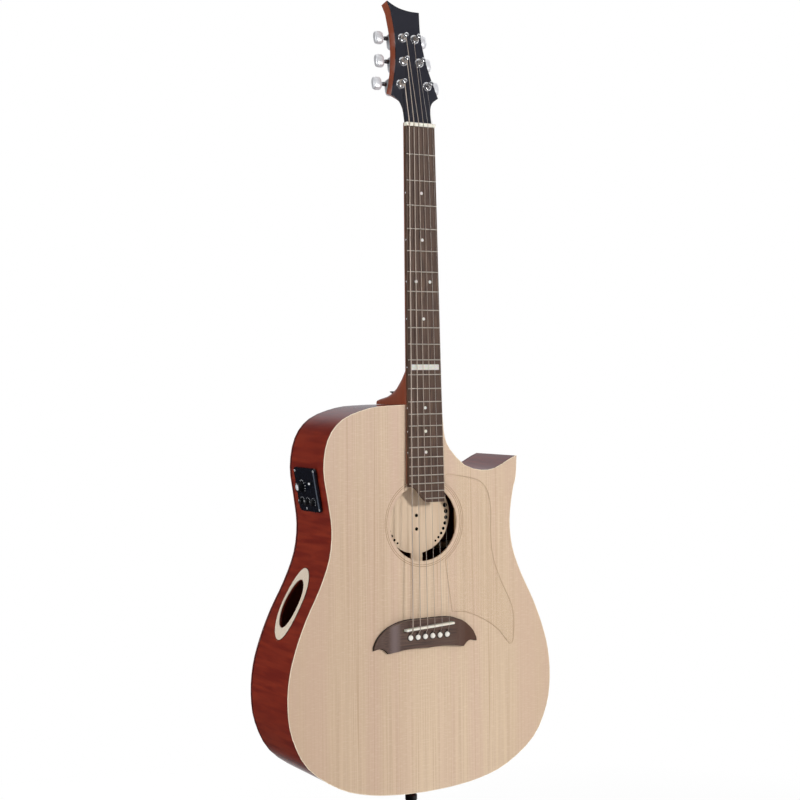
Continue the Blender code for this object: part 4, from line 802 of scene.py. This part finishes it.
def finish_neck():
    """The neck, its black face, the nut and the rod, then the board with its frets and inlays."""
    dressed("neck", NECK_WOOD, 32, 0.35)
    dressed("headstock_overlay", HEAD_BLACK, 30, 0.35)
    dressed("nut", BONE, bevel_mm=0.25)
    dressed("truss_rod", STEEL_ROD, bevel_mm=0.2)
    # The board without the frets that are part of its solid
    shape = welded("fingerboard")
    out = BOARD.to_3x3().col[2]
    cutting = bmesh.ops.bisect_plane(
        shape, geom=shape.verts[:] + shape.edges[:] + shape.faces[:],
        plane_co=BOARD.to_translation() - out * CUT_UNDER, plane_no=out, clear_outer=True,
        dist=0.000001)
    edges = [e for e in cutting["geom_cut"] if isinstance(e, bmesh.types.BMEdge)]
    bmesh.ops.holes_fill(shape, edges=[e for e in edges if e.is_valid])
    flatten(shape, 0.5)
    settle("board_playing_face", as_mesh(shape), BOARD_WOOD,
           stands_for=("fingerboard",), bevel_mm=0.3)
    grown("frets_crowned", FRETWIRE, FRET_METAL, "string_steel", where=BOARD)
    dots = [(x, -between(n), 0) for n, x in FRET_DOTS]
    grown("board_dots", DISCS, PEARL, "bone_white", dots, where=BOARD, Radius=0.0021,
          Thickness=0.00024)
    bar = plate(rounded(0.0425, 0.0072, radius=0.0008, x=0.0006, y=-between(12)),
                -0.0002, 0.00013)
    settle("board_bar_twelfth", bar, PEARL, bevel_mm=0.05, where=BOARD)
    side = []
    for number in SIDE_DOTS:
        down = between(number)
        half = BOARD_HALF_NUT + (BOARD_HALF_END - BOARD_HALF_NUT) * down / BOARD_RUN
        side.append((-down, SIDE_DOT_DOWN, half))
    grown("side_dots", DISCS, MARK_WHITE, "bone_white", side, where=BOARD_EDGE, Radius=0.0010,
          Thickness=0.0001, Sides=18)


# -------------------------------- tuning machines


def oval_button():
    """A flat oval button on a stepped neck, z outwards along the shaft."""
    shape = bmesh.new()
    rings = []
    sides = 24
    # Half width, half thickness and height of each ring, from the shaft to the outer end
    for wide, thick, height in (
            (0.0019, 0.0019, 0.0166), (0.0034, 0.0028, 0.0172), (0.0074, 0.0041, 0.0179),
            (0.0087, 0.0048, 0.0198), (0.0089, 0.0049, 0.0232), (0.0088, 0.0048, 0.0266),
            (0.0081, 0.0044, 0.0287), (0.0062, 0.0034, 0.0296), (0.0034, 0.0019, 0.0298)):
        ring = []
        for i in range(sides):
            a = 2 * math.pi * i / sides
            c, s = math.cos(a), math.sin(a)
            # Powers under 1 square the oval off
            c = math.copysign(abs(c) ** 0.8, c)
            s = math.copysign(abs(s) ** 0.62, s)
            ring.append(shape.verts.new((thick * s, wide * c, height)))
        rings.append(ring)
    for one, two in zip(rings, rings[1:]):
        for i in range(sides):
            j = (i + 1) % sides
            shape.faces.new((one[i], one[j], two[j], two[i]))
    shape.faces.new(rings[0])
    shape.faces.new(rings[-1])
    return as_mesh(shape)


def finish_tuner(number):
    """One tuning machine: housing, washer, post with its string's eye, button and shaft."""
    post_body, button_body = f"tuner_post_{number}", f"tuner_button_{number}"
    dressed(f"tuner_housing_{number}", BUTTON_CHROME, 40, 0.5)
    place, top = body_axes(post_body), POST_TOP
    washer = turned([
        (0.00322, 0.0031), (0.0046, 0.00315), (0.00515, 0.0028), (0.0053, 0.0017),
        (0.0059, 0.0013), (0.0063, 0.0008), (0.00635, 0.00002), (0.00322, 0.00002)], 40, True)
    settle(f"washer_{number}", washer, CHROME, where=place)
    post = turned([
        (0, top), (0.0021, top), (0.0027, top - 0.0002), (0.003, top - 0.0008),
        (0.003, top - 0.0030), (0.00285, top - 0.0038), (0.00246, top - 0.0048),
        (0.00246, top - 0.0080), (0.0027, top - 0.0090), (0.003, top - 0.0096),
        (0.003, -0.0235), (0, -0.0235)], 36)
    eye = turned([(0, -0.01), (0.0009, -0.01), (0.0009, 0.01), (0, 0.01)], 14)
    eye.transform(Matrix.Translation((0, 0, top - 0.003)) @ Matrix.Rotation(math.pi / 2, 4, "Y"))
    settle(f"post_{number}", cut(post, eye), CHROME, post_body, (post_body,),
           where=place)
    along = body_axes(button_body)
    settle(f"button_{number}", oval_button(), BUTTON_CHROME, button_body,
           (button_body,), corner=180, rounds=1, where=along)
    shaft = turned([
        (0, 0.0003), (0.0022, 0.0003), (0.0022, 0.0094), (0.0028, 0.0098), (0.0028, 0.0140),
        (0.0022, 0.0146), (0.0022, 0.0172), (0, 0.0172)], 24)
    settle(f"button_shaft_{number}", shaft, STEEL_ROD, button_body, where=along)


# -------------------------------- bridge and strings


def finish_bridge():
    """The bridge with a line of painted shade round its foot, the saddle, the pins in rims of
    painted shade, and the strings.
    """
    dressed("bridge", BRIDGE_WOOD, 24, 0.4)
    # Painted shade: a dark line round the bridge's foot, where it meets the soundboard
    foot = [p - Vector((0, 0.0009, 0)) for p in face_loops("bridge", 1)[0]]
    line_round("bridge_foot_painted_shade", foot, 0.0008, PAINTED_SHADE)
    dressed("saddle", BONE, bevel_mm=0.15)
    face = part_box("bridge")[0].y
    heads = []
    for number in range(1, 7):
        low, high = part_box(f"bridge_pin_{number}")
        x, z = (low.x + high.x) / 2, (low.z + high.z) / 2
        heads.append((x, z, TOP_FACE - face))
        pin = turned([
            (0, 0.0032), (0.0012, 0.0031), (0.0024, 0.0026), (0.0033, 0.0018), (0.0036, 0.0010),
            (0.0035, 0.0004), (0.0031, 0.0001), (0.0025, 0.0001), (0.0021, -0.019), (0, -0.0208)],
            32)
        settle(f"pin_{number}", pin, PIN_WHITE,
               stands_for=(f"bridge_pin_{number}",), corner=60,
               where=axes((x, face, z), (1, 0, 0), (0, 0, 1), (0, -1, 0)))
    # Painted shade: a dark disc round each pin, for the shade in its hole's chamfer
    grown("pin_rim_painted_shade", DISCS, PAINTED_SHADE, "rosewood", heads, where=TOP, Radius=0.0046,
          Thickness=0.00016, Sides=32)
    for number in range(1, 7):
        look, slot = ((STRING_PLAIN, "string_steel") if number <= 2
                      else (STRING_WOUND, "string_bronze"))
        dressed(f"string_{number}", look, 100, 0)


# -------------------------------- control panel and pegs


def finish_knob(name, radius, height, count):
    """A fluted knob with a white line on its top, which points up the side at rest."""
    place = body_axes(name)
    rim = radius - 0.0004
    knob = turned([
        (0, height - 0.0003), (radius * 0.6, height - 0.0003), (radius * 0.72, height),
        (rim - 0.0007, height), (rim - 0.0001, height - 0.0005), (rim, height - 0.0015),
        (rim, 0.0004), (0.0019, 0.0004), (0.0019, -0.0058), (0, -0.0058)], 48)
    settle(f"{name}_body", knob, KNOB_BLACK, name, (name,), where=place)
    grown(f"{name}_flutes", BARS, KNOB_BLACK, "black_plastic", body=name,
          where=place @ Matrix.Translation((0, 0, height / 2)), Count=count, Radius=rim,
          Start=0.0, Sweep=2 * math.pi * (count - 1) / count, Length=0.0007,
          Width=radius * 0.11, Height=height - 0.002)
    turn = PANEL.to_3x3().transposed() @ place.to_3x3()
    up = math.atan2(*(turn.transposed() @ Vector((0, 1, 0))).yx)
    mark = plate(rounded(radius * 0.62, 0.0007, radius=0.0003, x=radius * 0.58, steps=3),
                 height - 0.0001, height + 0.0001)
    settle(f"{name}_line", mark, MARK_WHITE, name,
           where=place @ Matrix.Rotation(up, 4, "Z"))


def finish_panel():
    """The control panel with its ridge, grey as a painted highlight, its screws, the knobs in their
    ticks, and the key.
    """
    face = PANEL_TOP
    dressed("preamp_housing", PANEL_BLACK, bevel_mm=0.6)
    # Painted highlight: the ridge inside the soundboard-side edge is grey, for the light stripe
    # that it reflects
    ridge = plate(rounded(0.0026, 0.0475, radius=0.0013, x=0.0262), face - 0.0002,
                  face + 0.0006)
    settle("panel_ridge", ridge, RIDGE_PAINTED_HIGHLIGHT, bevel_mm=0.35, where=PANEL)
    grown("panel_screws", DISCS, BUTTON_CHROME, "chrome", [(*s, face) for s in PANEL_SCREWS],
          bevel_mm=0.15, where=PANEL, Radius=0.0016, Thickness=0.0008, Sides=24)
    # Painted shade: each screw's cross is four short dark bars round its middle, for the shade in
    # its recess
    grown("panel_screw_slot_painted_shade", BARS, PAINTED_SHADE, "black_plastic",
          [(*s, face + 0.0004) for s in PANEL_SCREWS], where=PANEL, Count=4, Radius=0.0004,
          Start=0.4, Sweep=math.pi * 1.5, Length=0.0008, Width=0.0003, Height=0.00008)
    centres, sizes = [], []
    for name, (radius, height, count) in KNOBS.items():
        spot = PANEL.inverted() @ body_axes(name).to_translation()
        centres.append((spot.x, spot.y, face + 0.00003))
        sizes.append((radius + TICK_GAP) / TICK_RING)
        finish_knob(name, radius, height, count)
    grown("panel_ticks", BARS, MARK_WHITE, "black_plastic", centres, sizes, where=PANEL,
          Count=11, Radius=TICK_RING, Start=math.radians(-45), Sweep=math.radians(270),
          Length=0.0013, Width=0.0007, Height=0.00006)
    cap = turned([
        (0, 0.00815), (0.0034, 0.00815), (0.0040, 0.0080), (0.0042, 0.0076), (0, 0.0076)], 40)
    settle("volume_cap", cap, KNOB_END, "volume_knob", where=body_axes("volume_knob"))
    dressed("tuner_key", KNOB_BLACK, bevel_mm=0.4)
    low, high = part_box("tuner_key")
    spot = PANEL.inverted() @ ((low + high) / 2)
    mark = plate(rounded(0.0054, 0.0022, radius=0.0006, x=spot.x, y=spot.y), 0.0049, 0.0051)
    settle("key_mark", mark, MARK_WHITE, "tuner_key", where=PANEL)


def finish_peg(name, node, rise, profile, sides, corner=38):
    """A turned peg in place of a node, whose top is at rise in the profile's heights."""
    low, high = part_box(node)
    spot = ((low.x + high.x) / 2, (low.y + high.y) / 2, high.z - rise)
    settle(name, turned(profile, sides), PEG_BLACK, stands_for=(node,),
           corner=corner, where=Matrix.Translation(spot))


def finish_pegs():
    """The strap button on the heel, and the endpin with its flange, nut and jack."""
    finish_peg("strap_peg", "strap_button", 0.0078, [
        (0, 0.0078), (0.0032, 0.0078), (0.0044, 0.0077), (0.005, 0.0073), (0.005, 0.0066),
        (0.0043, 0.0061), (0.0028, 0.0055), (0.00225, 0.0038), (0.0026, 0.0020), (0.0037, 0.0009),
        (0.0045, 0.0003), (0, 0.0003)], 40)
    finish_peg("endpin_peg", "endpin_jack", 0.032, [
        (0, 0.0278), (0.0032, 0.0278), (0.0032, -0.0200), (0.0037, -0.0205), (0.0064, -0.0205),
        (0.0076, -0.0200), (0.008, -0.0188), (0.008, -0.0132), (0.0072, -0.0122),
        (0.0056, -0.0108), (0.0048, -0.0092), (0.0052, -0.0052), (0.0062, -0.0036),
        (0.0074, -0.0024), (0.0075, -0.0003), (0.0055, -0.0003), (0.0055, 0.025),
        (0.0043, 0.026), (0.0043, 0.032), (0, 0.032)], 48, 30)


# -------------------------------- studio


def lamp(name, place, aim, size, power):
    """A soft square lamp that points at a place on the guitar."""
    light = bpy.data.lights.new(name, "AREA")
    light.shape = "RECTANGLE"
    light.size, light.size_y = size
    light.energy = power
    made = in_scene(name, light)
    made.location = place
    made.rotation_euler = (Vector(aim) - Vector(place)).to_track_quat("-Z", "Y").to_euler()
    return made


def emptied(owner):
    """The cleared node tree of a world or a material."""
    owner.use_nodes = True
    owner.node_tree.nodes.clear()
    return owner.node_tree


def sheet(name, corners, paint):
    """A flat four-sided piece of the studio."""
    mesh = bpy.data.meshes.new(name)
    mesh.from_pydata(corners, [], [(0, 1, 2, 3)])
    mesh.materials.append(paint)
    return in_scene(name, mesh)


def card(name, corners, code, fade=None):
    """A sheet that only reflections see, as a studio's dark walls and grey flags.

    fade is a second colour and the two places along x between which it takes over.
    """
    paint = bpy.data.materials.new(f"{name}_cloth")
    tree, colour = emptied(paint), hex_colour(code)
    if fade:
        other, start, end = fade
        along = add(tree, "ShaderNodeSeparateXYZ", {0: object_place(tree)}).outputs["X"]
        share = ramp(tree, along, start, end, interpolation_type="SMOOTHSTEP")
        colour = blend(tree, share, colour, other)
    glow = add(tree, "ShaderNodeEmission", {"Color": colour, "Strength": 1.0})
    add(tree, "ShaderNodeOutputMaterial", {0: glow.outputs[0]})
    made = sheet(name, corners, paint)
    made.visible_camera = made.visible_diffuse = made.visible_shadow = False
    made.visible_transmission = made.visible_volume_scatter = False


def seen_rays(tree):
    """1 for the rays that see the backdrop: the camera's, reflections and those through glass."""
    ray = add(tree, "ShaderNodeLightPath")
    bent = math_node(tree, "MAXIMUM", ray.outputs["Is Glossy Ray"],
                     ray.outputs["Is Transmission Ray"])
    return math_node(tree, "MAXIMUM", ray.outputs["Is Camera Ray"], bent)


def make_backdrop():
    """A world that is white to the eye and soft as a light, and a floor that fades into it."""
    world = bpy.data.worlds.new("White_Studio")
    bpy.context.scene.world = world
    tree = emptied(world)
    soft = add(tree, "ShaderNodeBackground", {"Color": hex_colour("F4F6FA"), "Strength": 0.36})
    white = add(tree, "ShaderNodeBackground", {"Color": (1, 1, 1, 1), "Strength": 1.0})
    mix = add(tree, "ShaderNodeMixShader", {
        0: seen_rays(tree), 1: soft.outputs[0], 2: white.outputs[0]})
    add(tree, "ShaderNodeOutputWorld", {0: mix.outputs[0]})

    paint = bpy.data.materials.new("Floor_White_Paint")
    tree = emptied(paint)
    # Shadows show on the floor near the guitar, and it blends into the backdrop further off
    off = add(tree, "ShaderNodeVectorMath", {0: object_place(tree), 1: (0, 0, FLOOR_Z)},
              operation="DISTANCE")
    far = ramp(tree, off.outputs["Value"], 1.0, 2.6, 0.75)
    matt = add(tree, "ShaderNodeBsdfDiffuse", {"Color": hex_colour("F6F6F6")})
    glow = add(tree, "ShaderNodeEmission", {"Color": (1, 1, 1, 1), "Strength": 1.0})
    mix = add(tree, "ShaderNodeMixShader", {
        0: math_node(tree, "MULTIPLY", seen_rays(tree), far), 1: matt.outputs[0],
        2: glow.outputs[0]})
    add(tree, "ShaderNodeOutputMaterial", {0: mix.outputs[0]})
    floor = sheet("studio_floor", [(-60, -60, FLOOR_Z), (60, -60, FLOOR_Z), (60, 60, FLOOR_Z),
                                   (-60, 60, FLOOR_Z)], paint)


def make_studio():
    """The dark room round the guitar, as reflections see it, and the four lamps."""
    front, back, left, low = -4.2, 3.6, -3.4, -1.46
    card("room_front", [(-7, front, -4), (7, front, -4), (7, front, 5), (-7, front, 5)], "26262C")
    card("room_left", [(left, front, -4), (left, back, -4), (left, back, 4), (left, front, 4)],
         "1E1A1C")
    # Behind, a flag that turns grey to the right
    card("flag_behind", [(left, back, -4), (6.0, back, -4), (6.0, back, 3), (left, back, 3)],
         "2A2426", ("9A9A9E", -0.9, 1.3))
    card("room_floor", [(-4, front, low), (3, front, low), (3, back, low), (-4, back, low)],
         "2E2424", ("B4ACAC", -0.2, 0.8))
    middle = (0, 0, -0.45)
    lamp("key", (1.0, -4.0, 0.5), middle, (0.4, 0.5), 103)
    lamp("fill", (-2.6, -1.6, 0.0), middle, (1.4, 2.0), 3)
    lamp("side", (-2.8, 0.3, 0.25), (0, 0, -0.35), (1.2, 1.2), 35)
    behind = lamp("behind", (0.2, 3.3, 0.2), middle, (2.0, 2.0), 55)
    behind.visible_glossy = False


def make_camera():
    """The photograph's view: a short telephoto lens, from the bass side of the front."""
    camera = bpy.data.cameras.new("photo_view")
    camera.lens = 68.45
    camera.sensor_width = 36
    made = in_scene("photo_view", camera)
    look = (Matrix.Rotation(-0.0094, 3, "Y") @ Matrix.Rotation(0.0112, 3, "X")
            @ Matrix.Rotation(0.515, 3, "Z")).transposed()
    turn = look @ Matrix.Rotation(math.pi / 2, 3, "X")
    made.matrix_world = Matrix.Translation((-1.0079, -1.7387, -0.3616)) @ turn.to_4x4()
    bpy.context.scene.camera = made


finish_body()
finish_port()
finish_neck()
for machine in range(1, 7):
    finish_tuner(machine)
finish_bridge()
finish_panel()
finish_pegs()
make_backdrop()
make_studio()
make_camera()
bpy.context.scene.view_settings.view_transform = "Standard"
